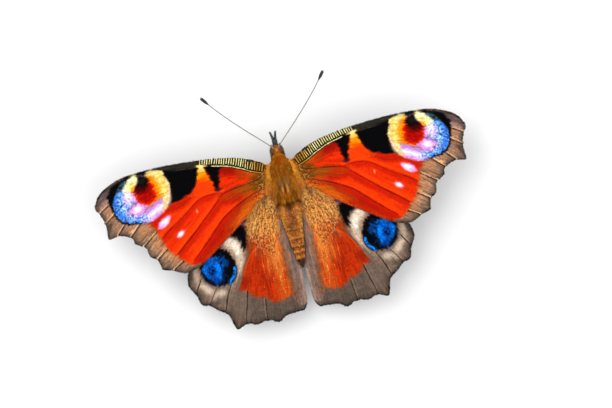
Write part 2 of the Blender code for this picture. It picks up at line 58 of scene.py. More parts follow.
# ---------------------------------------------------------------- body sizes
# Each station of a loft: y, half width, height of the centre, half height.
HEAD = (
    (4.30, 0.62, 5.60, 0.75),
    (4.05, 0.85, 5.65, 0.88),
    (3.60, 1.05, 5.72, 1.00),
    (3.00, 1.05, 5.75, 1.00),
    (2.65, 0.98, 5.75, 0.95),
)
THORAX = (
    (2.40, 1.25, 5.75, 1.15),
    (1.90, 1.50, 5.80, 1.45),
    (0.90, 2.00, 5.90, 1.95),
    (-0.60, 2.50, 6.00, 2.30),
    (-2.20, 2.60, 6.00, 2.40),
    (-3.80, 2.40, 5.95, 2.25),
    (-5.00, 2.05, 5.85, 1.95),
    (-5.90, 1.65, 5.75, 1.60),
)
ABDOMEN = (
    (-6.15, 1.62, 5.70, 1.58),
    (-7.30, 1.90, 5.65, 1.80),
    (-8.80, 1.80, 5.55, 1.75),
    (-10.30, 1.55, 5.45, 1.55),
    (-11.80, 1.30, 5.30, 1.30),
    (-13.30, 1.05, 5.15, 1.05),
    (-14.60, 0.80, 5.05, 0.80),
    (-15.60, 0.50, 4.95, 0.50),
    (-16.30, 0.20, 4.90, 0.20),
)
# How far the skin lies inside the outer form, along y.
COAT_DEPTH = ((4.30, 0.14), (2.80, 0.20), (1.90, 0.36), (-5.00, 0.40), (-6.40, 0.26), (-13.0, 0.16),
              (-16.30, 0.08))
HEAD_SKIN = 0.72                       # half width of the skin between the eyes
FACE_START, FACE_REACH = 3.80, 0.46    # where the head's skin starts to round off, and how far it reaches
RING_FRONT, RING_REAR = -7.30, -15.60  # first and last groove between the abdomen's segments
SEGMENTS = 7
TAIL_SKIN = -16.28                     # where the skin closes at the tail
BODY_LENGTH = 20.7                     # from the abdomen's end to the face, on the unwrap

EYE_BASE, EYE_DEPTH = 0.66, 0.54       # where the eye's dome starts, and how far it stands out
EYE_CENTRE = (3.38, 5.80)
EYE_RADII = (0.74, 0.80)
ANTENNA_SEAT = (0.62, 4.12, 6.55)
ANTENNA_TIP = (10.40, 14.60, 9.00)
ANTENNA_BOW = 0.42
ANTENNA_RADIUS = 0.085
CLUB_RADIUS = 0.27
CLUB_LENGTH = 2.1
ANTENNA_RINGS = 38
PALP_PATH = ((0.20, 4.05, 5.72), (0.20, 4.75, 5.88), (0.23, 5.50, 6.05), (0.33, 6.05, 6.13),
             (0.43, 6.40, 6.15))
PALP_RADII = (0.17, 0.18, 0.14, 0.09, 0.03)
COIL_CENTRE = (5.12, 4.72)
COIL_RADIUS = 0.52
COIL_TURNS = 3.2
COIL_THICKNESS = 0.065
COIL_LEAD = ((0.0, 4.20, 5.30), (0.0, 4.60, 5.34))   # the tongue's way from the mouth to its coil

LEGS = {
    "mid": ((1.95, -1.25, 3.75), (5.40, 0.20, 5.20), (7.70, 1.20, 0.55), (10.70, 2.60, 0.20)),
    "hind": ((1.80, -4.10, 3.70), (4.90, -6.80, 4.70), (6.70, -10.40, 0.55), (7.70, -14.00, 0.20)),
}
COXAE = ((0.60, -1.50, 4.60), (0.60, -3.40, 4.60))
FORELEG = ((0.80, 1.40, 4.70), (0.82, 1.85, 4.15), (0.92, 2.90, 3.98), (0.70, 4.10, 4.10))
FLOOR_GAP = 0.01       # the lowest that a bristle of the feet reaches

# ---------------------------------------------------------------- wing sizes
MEMBRANE = 0.10        # thickness of the wing's skin
VEIN_LIFT = 0.07
PLEAT_LIFT = 0.07
CREASE_DROP = 0.12
WING_ROOT_Z = 7.20
WING_RISE = 0.070
WING_BOW = 0.0011
WING_FALL = 0.0030
WING_STACK = 1.05
CLOSER = 0.14          # each wing lies this much nearer the other than its solid's middle
GUTTER_DROP = 2.0
GUTTER_WIDTH = 4.5
GUTTER_START = (-4.0, -8.0)
MARGIN_INSET = 0.16    # room that the fringe takes at the wing's edge

FOREWING_ROOT = ((1.70, -2.50), (1.90, -0.60), (1.55, 1.15))
FOREWING_COSTA = ((3.0, 2.00), (5.15, 3.02), (8.0, 3.85), (13.0, 4.57), (20.0, 4.92), (26.0, 4.50),
    (29.9, 2.80), (31.19, 0.82))
FOREWING_MARGIN = ((31.0, 0.15), (30.4, -0.95), (30.05, -2.8), (30.13, -4.5), (29.85, -4.87), (28.3, -4.6),
    (26.97, -5.06), (26.2, -5.55), (25.9, -6.55), (24.5, -7.4), (24.2, -8.35), (24.0, -9.12), (23.0, -9.85),
    (22.72, -10.7), (22.45, -11.62), (20.9, -12.15), (19.2, -13.0))
FOREWING_REAR = ((18.4, -12.92), (16.2, -12.3), (12.5, -9.9), (8.0, -6.8), (5.2, -4.45))
FOREWING_VEINS = (
    ((3.4, 0.5), (6.0, 1.65), (9.0, 2.75), (13.0, 3.6), (18.0, 4.1), (23.5, 3.85), (28.0, 2.7), (30.6, 0.9)),
    ((21.0, 3.9), (25.0, 2.2), (28.0, 0.4), (29.9, -1.1)),
    ((13.9, 3.6), (14.9, 2.0), (15.3, 0.2), (14.3, -1.6)),
    ((15.0, 1.8), (20.0, 1.2), (25.0, -0.9), (29.5, -4.4)),
    ((15.3, 0.2), (20.0, -0.8), (24.0, -2.8), (26.8, -4.7)),
    ((3.2, -0.5), (6.0, -0.9), (9.0, -1.35), (12.5, -1.35), (14.3, -1.6), (18.0, -2.6), (22.0, -4.2),
     (25.5, -6.2)),
    ((14.3, -1.6), (17.0, -3.8), (20.5, -6.3), (23.6, -8.7)),
    ((10.0, -1.45), (13.0, -4.1), (17.0, -7.4), (22.0, -11.2)),
    ((3.2, -1.7), (8.0, -3.8), (11.0, -5.7), (14.0, -8.6), (18.3, -12.3)),
)
FOREWING_FOLDS = (
    ((28.2, 2.3), (30.6, 1.0)),
    ((29.0, 0.6), (30.4, -0.3)),
    ((26.2, 0.5), (28.0, -0.8), (29.8, -2.1)),
    ((24.3, 0.1), (26.0, -1.1), (27.0, -3.0), (28.4, -4.5)),
    ((22.0, -0.6), (23.3, -1.7), (24.4, -3.4), (26.2, -5.1)),
    ((21.6, -5.0), (24.6, -7.2)),
    ((19.7, -7.6), (22.95, -9.85)),
    ((17.5, -10.2), (20.7, -12.1)),
)
HINDWING_ROOT = ((1.70, -5.60), (1.90, -4.20), (1.90, -2.70))
HINDWING_COSTA = ((4.6, -2.1), (8.0, -3.3), (12.5, -6.3), (16.2, -9.6), (18.4, -12.3))
HINDWING_MARGIN = ((18.96, -14.2), (19.02, -15.3), (18.2, -16.9), (17.9, -17.8), (17.55, -18.72),
    (16.2, -19.2), (15.5, -19.9), (14.75, -20.42), (13.7, -21.3), (13.2, -22.9), (12.7, -23.95),
    (10.9, -23.4), (9.5, -23.88), (8.0, -23.6), (7.0, -23.7), (5.75, -24.25), (4.4, -23.45), (3.0, -23.36),
    (1.2, -23.2))
HINDWING_INNER = ((0.62, -22.2), (0.47, -20.5), (0.42, -18.4), (0.38, -16.9), (0.56, -15.2), (0.90, -13.3),
    (1.15, -11.8), (1.36, -10.3), (1.54, -8.8), (1.60, -7.3))
HINDWING_VEINS = (
    ((4.0, -2.9), (8.0, -4.6), (13.0, -8.4), (17.0, -12.2), (18.6, -14.6)),
    ((3.8, -3.7), (7.0, -6.8), (11.0, -9.8), (15.5, -13.4), (17.3, -18.2)),
    ((8.3, -9.0), (11.0, -13.0), (13.0, -17.0), (14.7, -20.0)),
    ((7.0, -6.8), (8.3, -9.0), (7.8, -10.9), (6.7, -10.4)),
    ((7.8, -10.9), (9.5, -14.8), (11.2, -19.2), (12.4, -23.2)),
    ((3.7, -4.8), (5.2, -7.6), (6.7, -10.4), (7.9, -15.0), (8.9, -19.5), (9.4, -23.4)),
    ((5.2, -7.6), (5.5, -12.0), (5.7, -18.0), (5.75, -23.7)),
    ((3.5, -6.4), (3.3, -12.0), (3.1, -18.0), (3.0, -22.9)),
)
HINDWING_FOLDS = (
    ((16.8, -14.5), (18.1, -16.6)),
    ((14.4, -16.2), (16.2, -18.8)),
    ((12.2, -16.5), (13.0, -18.0), (13.9, -20.3)),
    ((9.8, -18.0), (10.3, -20.0), (11.2, -23.3)),
    ((7.2, -20.0), (7.6, -23.3)),
)

# ---------------------------------------------------------------- sizes of the coats
NET_SPACING = 0.22                       # of the corners of a wing's skin
ROW_STEP = 0.866                         # from row to row in a lattice of triangles with sides of one
UPPER_SCALES = (0.134, (0.255, 0.158, 0.045))    # spacing, then length, width and lift
UNDER_SCALES = (0.24, (0.44, 0.32, 0.05))
SCALE_JITTER = 0.3                       # how far scales stray from their lattice, in spacings
SCALE_GAP = 0.008                        # from the skin to a scale's root
FRINGE_STEP = 0.055
SHOULDER_HAIRS, SIDE_HAIRS, FACE_HAIRS, PALP_HAIRS = 2300, 8800, 1100, 700
LEG_HAIRS = 145                          # for each millimetre of leg
# Painted shade towards each hair's root and painted light towards its tip.
HAIR_SHADE_TO_LIGHT = np.array((0.90, 0.97, 0.97, 1.03, 1.10))    # brightness of a hair's five points
EYE_ROWS, EYE_SIDES = 26, 56
SKIN_SIDES, TUBE_SIDES = 64, 14
RELIEF_DEPTH = 0.03                      # of the grain on all finishes
FACET = 0.045                            # width of an eye's facet

# Middle of the stripe of hair over the root of the forewing.
SHOULDER = ((1.70, 1.25), (1.98, 0.50), (2.26, -0.60), (2.50, -1.80), (2.72, -2.70), (2.92, -3.40))
# Zones of the wings that long hair covers.
FIELD_ZONE = ((5.2, -9.6), (7.0, -11.0), (8.3, -13.0), (9.4, -15.4), (9.2, -16.4), (8.2, -17.3),
    (6.4, -18.2), (5.0, -18.6), (4.2, -16.0), (4.4, -12.5))
STRAND_ZONE = ((1.9, -6.6), (3.0, -6.4), (5.0, -8.0), (6.2, -10.2), (6.0, -12.2), (5.1, -15.6),
    (4.4, -18.6), (3.7, -19.8), (3.3, -18.4), (2.7, -14.5), (2.6, -11.0), (2.3, -8.8))
HIND_BASE_ZONE = ((1.6, -3.2), (5.0, -4.2), (7.5, -6.4), (7.9, -8.5), (7.5, -10.2), (6.2, -12.0),
    (4.8, -13.6), (3.6, -13.0), (2.8, -11.0), (2.35, -8.6), (1.9, -6.8))
FORE_BASE_ZONE = ((2.2, 1.2), (2.9, 0.7), (3.7, 0.0), (4.2, -1.2), (4.9, -2.6), (5.6, -3.8), (5.2, -5.2),
    (3.4, -4.8), (2.0, -3.4), (1.8, -1.0))
REAR_ZONE = ((3.2, -2.8), (5.0, -3.5), (7.0, -5.0), (9.2, -6.9), (11.0, -8.4), (10.6, -8.6), (8.6, -7.2),
    (6.0, -5.1), (3.4, -3.6))

# ---------------------------------------------------------------- inks, as sRGB from 0 to 255
INK = {
    "red": (238, 48, 2), "flame": (255, 74, 4), "crimson": (182, 20, 2), "blood": (140, 12, 3),
    "rust": (180, 56, 4), "brown": (156, 76, 8), "olive": (132, 86, 16), "amber": (206, 92, 10),
    "black": (3, 2, 4), "soot": (40, 38, 33), "straw": (240, 224, 156), "bar": (36, 32, 14),
    "lemon": (250, 212, 112), "pale lemon": (250, 244, 170), "cream": (248, 230, 200),
    "peach": (246, 200, 156), "orange": (255, 142, 0), "core red": (176, 3, 0), "maroon": (68, 1, 3),
    "white": (250, 252, 253), "pink": (246, 158, 238), "lilac": (206, 168, 250),
    "mauve": (196, 90, 130), "dusk": (90, 14, 34), "sky": (140, 184, 244), "pale sky": (205, 228, 253),
    "blue": (98, 164, 250), "deep blue": (14, 92, 214), "navy": (16, 36, 104), "teal": (40, 74, 86),
    "purple grey": (98, 78, 93), "rose brown": (160, 125, 118), "tan": (186, 128, 88),
    "bright tan": (224, 164, 120), "grey tan": (146, 116, 96), "dark tan": (92, 72, 60),
    "crease": (52, 30, 18), "wing edge": (22, 24, 32), "ash": (96, 81, 71), "warm ash": (122, 103, 89),
    "dark ash": (68, 56, 47), "mauve grey": (136, 110, 98), "ivory": (250, 236, 212),
    "bone": (222, 200, 176), "fawn": (136, 88, 62), "brick": (196, 50, 5), "dark brick": (160, 32, 4),
    "hair orange": (236, 126, 40), "hair tan": (232, 166, 84), "hair gold": (255, 194, 104),
    "hair dark": (70, 48, 18), "hair olive": (122, 92, 46), "hair rust": (206, 104, 46),
    "azure": (0, 106, 216), "bright azure": (8, 134, 242), "ultramarine": (2, 52, 130),
    "under": (44, 37, 34), "under dark": (20, 17, 17), "under pale": (86, 74, 64),
    "thorax": (174, 98, 14), "thorax side": (255, 148, 32), "thorax dark": (84, 48, 12),
    "collar": (186, 86, 2), "abdomen": (214, 124, 54), "abdomen dark": (84, 52, 32),
    "abdomen side": (255, 170, 72), "belly": (70, 54, 44), "head": (212, 136, 50), "leg": (74, 56, 44),
    "leg pale": (150, 128, 100), "palp": (58, 66, 68), "palp grey": (126, 138, 138),
    "shaft": (150, 142, 134), "shaft dark": (52, 44, 40), "club": (16, 14, 14),
    "club tip": (206, 160, 110), "eye": (84, 50, 30), "tuft": (246, 168, 88),
    "grey tuft": (158, 112, 66), "olive gold": (190, 122, 14), "bright ivory": (255, 246, 228),
    "hair pale": (238, 196, 140), "thorax gold": (214, 134, 28), "umber": (112, 66, 8),
    "bright side": (255, 174, 64), "mauve pink": (196, 120, 180), "gold patch": (236, 156, 26),
    "strand gold": (252, 172, 84), "strand orange": (226, 128, 56), "strand shade": (128, 72, 34),
    "bright sky": (112, 196, 252), "rim blue": (92, 158, 244), "abdomen bright": (255, 174, 66),
    "sunlit tan": (255, 180, 128),
}

rng = np.random.default_rng(61)


# ---------------------------------------------------------------- small mathematics
def ramp(value, start, end):
    """0 at start, 1 at end, smooth between."""
    t = np.clip((value - start) / (end - start), 0.0, 1.0)
    return t * t * (3.0 - 2.0 * t)


def hashed(column, row, seed):
    """A repeatable number from 0 to 1 for each cell of a lattice."""
    n = (column.astype(np.int64) * 374761393 + row.astype(np.int64) * 668265263 + seed * 1442695041)
    n = n & 0xFFFFFFFF
    n = ((n ^ (n >> 13)) * 1274126177) & 0xFFFFFFFF
    return ((n ^ (n >> 16)) & 0xFFFFFF) / float(0xFFFFFF)


def noise(x, y, grain, seed):
    """Smooth value noise from 0 to 1 with cells of one grain."""
    column, row = np.floor(x / grain), np.floor(y / grain)
    across, up = x / grain - column, y / grain - row
    across = across * across * (3.0 - 2.0 * across)
    up = up * up * (3.0 - 2.0 * up)
    low = hashed(column, row, seed) * (1.0 - across) + hashed(column + 1, row, seed) * across
    high = hashed(column, row + 1, seed) * (1.0 - across) + hashed(column + 1, row + 1, seed) * across
    return low * (1.0 - up) + high * up


def curve(points, step=0.4, closed=False):
    """A smooth line through points, as rows; a closed one isn't given its first row twice."""
    path = np.asarray(points, float)
    if closed:
        path = np.vstack((path[-1:], path, path[:2]))
    else:
        path = np.vstack((2 * path[:1] - path[1:2], path, 2 * path[-1:] - path[-2:-1]))
    line = []
    for a, b, c, d in zip(path, path[1:], path[2:], path[3:]):
        count = max(1, round(float(np.linalg.norm(c - b)) / step))
        for i in range(count):
            t = i / count
            line.append(0.5 * (2 * b + (c - a) * t + (2 * a - 5 * b + 4 * c - d) * t * t
                               + (3 * b - a - 3 * c + d) * t ** 3))
    if not closed:
        line.append(path[-2])
    return np.array(line)


def line_offset(x, y, line):
    """Distance to a line, positive on its left."""
    best = np.full(x.shape, 1e6)
    signed = best.copy()
    for (ax, ay), (bx, by) in zip(line[:-1], line[1:]):
        dx, dy = bx - ax, by - ay
        t = np.clip(((x - ax) * dx + (y - ay) * dy) / (dx * dx + dy * dy), 0.0, 1.0)
        ox, oy = x - ax - t * dx, y - ay - t * dy
        distance = np.hypot(ox, oy)
        closer = distance < best
        best = np.where(closer, distance, best)
        signed = np.where(closer, np.copysign(distance, dx * oy - dy * ox), signed)
    return signed


def depth_inside(x, y, outline):
    """Distance to a closed line, positive inside it."""
    closed = np.vstack((outline, outline[:1]))
    distance = np.abs(line_offset(x, y, closed))
    odd = np.zeros(x.shape, bool)
    for (ax, ay), (bx, by) in zip(closed[:-1], closed[1:]):
        if ay != by:
            odd ^= ((ay > y) != (by > y)) & (x < ax + (y - ay) / (by - ay) * (bx - ax))
    return np.where(odd, distance, -distance)


def unit(vectors):
    """Rows scaled to length one."""
    return vectors / np.maximum(np.linalg.norm(vectors, axis=-1, keepdims=True), 1e-9)


def linear(colours):
    """sRGB from 0 to 1 as linear light."""
    colours = np.clip(colours, 0.0, 1.0)
    return np.where(colours <= 0.04045, colours / 12.92, ((colours + 0.055) / 1.055) ** 2.4)


def ink(name):
    """One named colour, from 0 to 1."""
    return np.array(INK[name]) / 255.0


def pick(shares, count):
    """A random ink for each of many tufts, from inks and the share that each takes."""
    table = np.array([ink(name) for name in shares])
    return table[rng.choice(len(shares), count, p=np.array(list(shares.values())) / sum(shares.values()))]


def tint(colours, name, share):
    """Colours moved towards an ink by each one's share."""
    return colours + (ink(name) - colours) * share[:, None]


def recolour(colours, chosen, others):
    """Colours, with others in place of the chosen ones."""
    return np.where(chosen[:, None], others, colours)


def triples(x, y, z=0.0):
    """Coordinates side by side, as rows of three."""
    return np.stack(np.broadcast_arrays(x, y, z), axis=1)


def varied(sizes, spans, count):
    """Length, width and rise of each copy, each a random share within its span of the usual size."""
    return np.stack([size * rng.uniform(*span, count) for size, span in zip(sizes, spans)], axis=1)


def run_along(line):
    """Distance along a line at each of its points."""
    return np.concatenate(((0.0,), np.cumsum(np.hypot(*np.diff(line, axis=0).T))))


def past_end(line):
    """A point a little past the end of a line."""
    last, before = np.array(line[-1]), np.array(line[-2])
    return tuple(last + 0.3 * unit(last - before))


def ring_angles(sides):
    """Even angles round a full turn."""
    return TURN * np.arange(sides) / sides


# ---------------------------------------------------------------- wing form
def forewing_height(x, y):
    """Middle surface of the forewing."""
    behind = np.maximum(0.0, -y)
    return WING_ROOT_Z + WING_RISE * x - WING_BOW * x * x - WING_FALL * behind * behind - CLOSER


def hindwing_height(x, y):
    """Middle surface of the hindwing, folded down beside the abdomen."""
    fold = np.maximum(0.0, 1.0 - x / GUTTER_WIDTH) ** 2 * ramp(y, *GUTTER_START)
    return forewing_height(x, y) + 2 * CLOSER - WING_STACK - GUTTER_DROP * fold


class Wing:
    """The plan of one wing, with its relief and the lie of its scales on a fine lattice."""

    CELL = 0.1
    LOW = (-1.0, -26.0)
    SIZE = (335, 325)

    def __init__(self, name, edge, veins, folds, height):
        self.name = name
        self.edge = edge
        self.height = height
        self.veins = [curve(vein, 0.8) for vein in veins]
        self.folds = [curve(fold, 0.8) for fold in folds]
        across = self.LOW[0] + self.CELL * np.arange(self.SIZE[0])
        up = self.LOW[1] + self.CELL * np.arange(self.SIZE[1])
        x, y = (part.ravel() for part in np.meshgrid(across, up))
        self.relief, self.lie_x, self.lie_y = self.form(x, y)

    def form(self, x, y):
        """Relief of veins and creases, and the unit direction that scales lie in."""
        nearest = np.full(x.shape, 1e6)
        lie = np.zeros((len(x), 2))
        for line in self.veins + self.folds:
            for a, b in zip(line[:-1], line[1:]):
                along = b - a
                length = float(np.hypot(*along))
                t = np.clip(((x - a[0]) * along[0] + (y - a[1]) * along[1]) / length ** 2, 0.0, 1.0)
                distance = np.hypot(x - a[0] - t * along[0], y - a[1] - t * along[1])
                lie += (length / (distance + 0.35) ** 3)[:, None] * (along / length)
                if any(line is vein for vein in self.veins):
                    nearest = np.minimum(nearest, distance)
        relief = VEIN_LIFT * np.exp(-(nearest / 0.17) ** 2) + PLEAT_LIFT * np.exp(-nearest / 0.8)
        for line in self.folds:
            relief = relief - CREASE_DROP * np.exp(-(line_offset(x, y, line) / 0.2) ** 2)
        lie = unit(lie)
        return relief, lie[:, 0], lie[:, 1]

    def look_up(self, values, x, y):
        """A lattice's values between its points."""
        across = np.clip((x - self.LOW[0]) / self.CELL, 0, self.SIZE[0] - 1.001)
        up = np.clip((y - self.LOW[1]) / self.CELL, 0, self.SIZE[1] - 1.001)
        column, row = across.astype(int), up.astype(int)
        across, up = across - column, up - row
        first = row * self.SIZE[0] + column
        low = values[first] * (1 - across) + values[first + 1] * across
        above = first + self.SIZE[0]
        high = values[above] * (1 - across) + values[above + 1] * across
        return low * (1 - up) + high * up

    def lie(self, x, y):
        """Unit direction of the scales at points of the plan."""
        return self.look_up(self.lie_x, x, y), self.look_up(self.lie_y, x, y)

    def surface(self, x, y, side):
        """Height of the upper face (side 1) or the lower face (side -1)."""
        return self.height(x, y) + self.look_up(self.relief, x, y) + side * MEMBRANE / 2

    def streaks(self, x, y, grain, length, seed):
        """Noise from about -1 to 1, drawn out along the lie of the scales."""
        lie_x, lie_y = self.lie(x, y)
        steps = np.linspace(-length / 2, length / 2, max(3, int(length / grain)))
        total = sum(noise(x + lie_x * step, y + lie_y * step, grain, seed) for step in steps)
        return np.clip((total / len(steps) - 0.5) * 2.4 * math.sqrt(len(steps)), -1.2, 1.2)


def inset(line, amounts):
    """A closed anticlockwise line moved inwards by its own amount at each point."""
    along = unit(np.roll(line, -1, axis=0) - np.roll(line, 1, axis=0))
    return line + np.stack((-along[:, 1], along[:, 0]), axis=1) * amounts[:, None]


def wing_edge(root, free_lines):
    """Closed anticlockwise outline of a wing: its root, then its free edges in turn."""
    free = [curve(free_lines[0], 0.35)]
    for points in free_lines[1:]:
        free.append(curve((free[-1][-1], *points), 0.3)[1:])
    edge = np.vstack((np.array(root), *free))
    area = np.sum(edge[:, 0] * np.roll(edge[:, 1], -1) - np.roll(edge[:, 0], -1) * edge[:, 1])
    return edge if area > 0 else edge[::-1]


# ---------------------------------------------------------------- painting
class Layers:
    """Colours of many points, laid layer over layer."""

    def __init__(self, ground, count):
        self.colour = np.tile(ink(ground), (count, 1))

    def lay(self, name, mask):
        """Cover the points with an ink by a mask from 0 to 1."""
        self.colour += (ink(name) - self.colour) * np.clip(mask, 0.0, 1.0)[:, None]

    def shade(self, amount):
        """Brighten or darken each point by a share."""
        self.colour *= (1.0 + amount)[:, None]


class Canvas(Layers):
    """Layers over part of a wing, each with a soft and ragged border."""

    def __init__(self, wing, x, y, ground):
        super().__init__(ground, len(x))
        self.wing, self.x, self.y = wing, x, y
        self.ragged = wing.streaks(x, y, 0.22, 0.9, 1)

    def inside(self, outline, soft=0.15, ragged=0.10):
        """Mask of a smooth closed outline."""
        depth = depth_inside(self.x, self.y, curve(outline, 0.5, closed=True))
        return ramp(depth + self.ragged * ragged, -soft, soft)

    def patch(self, name, outline, soft=0.15, strength=1.0, ragged=0.10):
        """An area of one ink."""
        self.lay(name, strength * self.inside(outline, soft, ragged))

    def stroke(self, name, line, half_width, soft=0.08, strength=1.0, ragged=0.05):
        """A line of one ink."""
        distance = np.abs(line_offset(self.x, self.y, curve(line, 0.5)))
        self.lay(name, strength * ramp(half_width - distance + self.ragged * ragged, -soft, soft))

    def beside(self, name, line, start, end, soft=0.15, strength=1.0):
        """A band of one ink between two distances to the left of a line."""
        offset = line_offset(self.x, self.y, curve(line, 0.5)) + self.ragged * 0.08
        mask = ramp(offset, start - soft, start + soft) * ramp(-offset, -end - soft, soft - end)
        self.lay(name, strength * mask)

    def glow(self, name, centre, radii, turn=0.0, strength=1.0):
        """A spot that fades from its middle; turn is its long axis's angle in degrees."""
        angle = math.radians(turn)
        dx, dy = self.x - centre[0], self.y - centre[1]
        along = (dx * math.cos(angle) + dy * math.sin(angle)) / radii[0]
        across = (dy * math.cos(angle) - dx * math.sin(angle)) / radii[1]
        self.lay(name, strength * np.exp(-(along ** 2 + across ** 2) ** 1.5))


def each(draw, *marks):
    """Draw one mark after another."""
    for mark in marks:
        draw(*mark)


# Where the bars of the leading edge end, and how far it is from one to the next.
BAR_FOOT = ((2.6, 0.35), (4.0, 0.88), (5.0, 1.30), (6.0, 1.88), (7.0, 2.33), (8.0, 2.76), (9.0, 3.06),
    (10.0, 3.28), (10.8, 3.46), (12.0, 3.68), (13.2, 3.80))
BAR_STEP = 0.20
# The forewing's raised veins, each with painted light in flame on its left and painted shade in crimson on
# its right, and the width of each border.
LIT_AND_SHADED_VEINS = (
    (((3.0, -0.5), (5.0, -0.8), (7.5, -1.1), (10.2, -1.65)), 0.7),
    (((10.2, -1.5), (11.5, -1.35), (14.0, -1.6), (16.0, -2.9), (18.0, -4.3), (21.0, -6.2),
      (23.6, -8.7)), 0.8),
    (((10.2, -1.65), (13.0, -4.2), (15.2, -6.1), (17.0, -7.6), (19.5, -9.7), (21.5, -11.3)), 1.0),
    (((4.0, -2.2), (6.0, -3.0), (8.0, -3.9), (11.0, -5.65), (14.0, -8.5), (17.0, -11.2)), 1.0),
)
# Inner border of the forewing's brown margin.
MARGIN_START = ((16.0, -12.15), (17.5, -11.95), (18.6, -11.2), (19.5, -10.2), (20.5, -9.2), (21.2, -7.9),
    (21.9, -5.9), (22.5, -4.6), (23.4, -3.6), (24.0, -2.6), (25.6, -2.2), (27.2, -1.6), (28.0, -0.4),
    (28.1, 0.8), (27.8, 1.8), (26.8, 3.0))
# Outline of the forewing's eyespot.
EYESPOT = ((19.1, 4.2), (18.85, 3.3), (18.4, 2.3), (18.35, 1.3), (18.5, 0.5), (18.8, -0.3), (19.2, -1.2),
    (19.8, -1.9), (20.8, -2.6), (21.8, -3.1), (22.8, -3.38), (23.6, -3.42), (24.2, -3.15), (25.0, -3.0),
    (26.0, -2.85), (27.0, -2.4), (27.6, -1.8), (27.95, -1.0), (28.05, 0.0), (28.0, 0.8), (27.7, 1.5),
    (27.2, 2.2), (26.5, 2.75), (26.0, 3.0), (25.7, 3.6), (25.1, 4.05), (24.2, 4.25), (23.4, 4.2),
    (22.8, 4.25), (22.0, 4.4), (21.0, 4.62), (20.0, 4.5))


def paint_forewing(wing, x, y):
    """Upper side of the forewing."""
    paint = Canvas(wing, x, y, "red")
    streak = wing.streaks(x, y, 0.15, 2.4, 2)
    broad = wing.streaks(x, y, 0.45, 3.5, 3)
    paint_red_area(paint, streak, broad)
    paint_forewing_base(paint, streak)
    paint_forewing_margin(paint, streak, broad)
    paint_costa(paint, streak)
    paint_black_patches(paint, streak)
    paint_forewing_eyespot(paint, streak)
    paint_forewing_spots(paint)
    # Painted shade in the first three creases.
    for fold in FOREWING_FOLDS[:3]:
        paint.stroke("crease", fold, 0.05, 0.09, 0.35)
    paint.shade(0.075 * streak)
    return paint.colour


def paint_red_area(paint, streak, broad):
    """The red field between the veins."""
    paint.lay("crimson", 0.5 * ramp(streak, 0.15, 1.2) + 0.25 * ramp(broad, 0.1, 1.0))
    paint.lay("flame", 0.45 * ramp(-broad, 0.1, 1.0))
    paint.patch("crimson", ((15.2, -0.6), (17.0, -1.0), (19.4, -1.6), (20.6, -2.6), (19.0, -2.7),
        (17.2, -2.4), (15.8, -1.7)), 0.45, 0.75)
    paint.patch("crimson", ((20.0, -2.4), (22.0, -3.3), (23.4, -3.7), (22.9, -4.5), (21.4, -4.4)),
        0.4, 0.75)
    paint.patch("rust", ((22.6, -3.6), (23.8, -3.6), (23.4, -4.6), (22.4, -5.6), (21.9, -7.0), (21.6, -6.0),
        (22.0, -4.8)), 0.4, 0.7)
    rear = ((4.0, -2.4), (8.0, -4.1), (11.0, -6.0), (14.0, -8.9), (17.0, -11.5), (15.5, -12.6),
        (11.0, -9.6), (6.0, -5.6))
    paint.patch("crimson", rear, 0.35, 1.0)
    paint.patch("rust", ((5.0, -3.6), (9.0, -6.1), (12.5, -8.9), (15.8, -11.3), (15.5, -12.6), (11.0, -9.6),
        (6.0, -5.6)), 0.5, 0.4)
    outer = ramp(paint.x, 6.5, 10.5)
    # Along each raised vein: a band of painted light, a band of painted shade, and a dark line on the vein.
    for line, width in LIT_AND_SHADED_VEINS:
        paint.beside("flame", line, 0.10, 0.10 + 0.75 * width, 0.35, 0.6 * outer)
        paint.beside("crimson", line, -0.95 * width, 0.0, 0.4, 0.3 + 0.35 * outer)
        paint.stroke("blood", line, 0.07 * width + 0.03, 0.10, 0.9)
    paint.glow("peach", (14.85, -3.4), (0.16, 0.34), 0.0, 0.6)


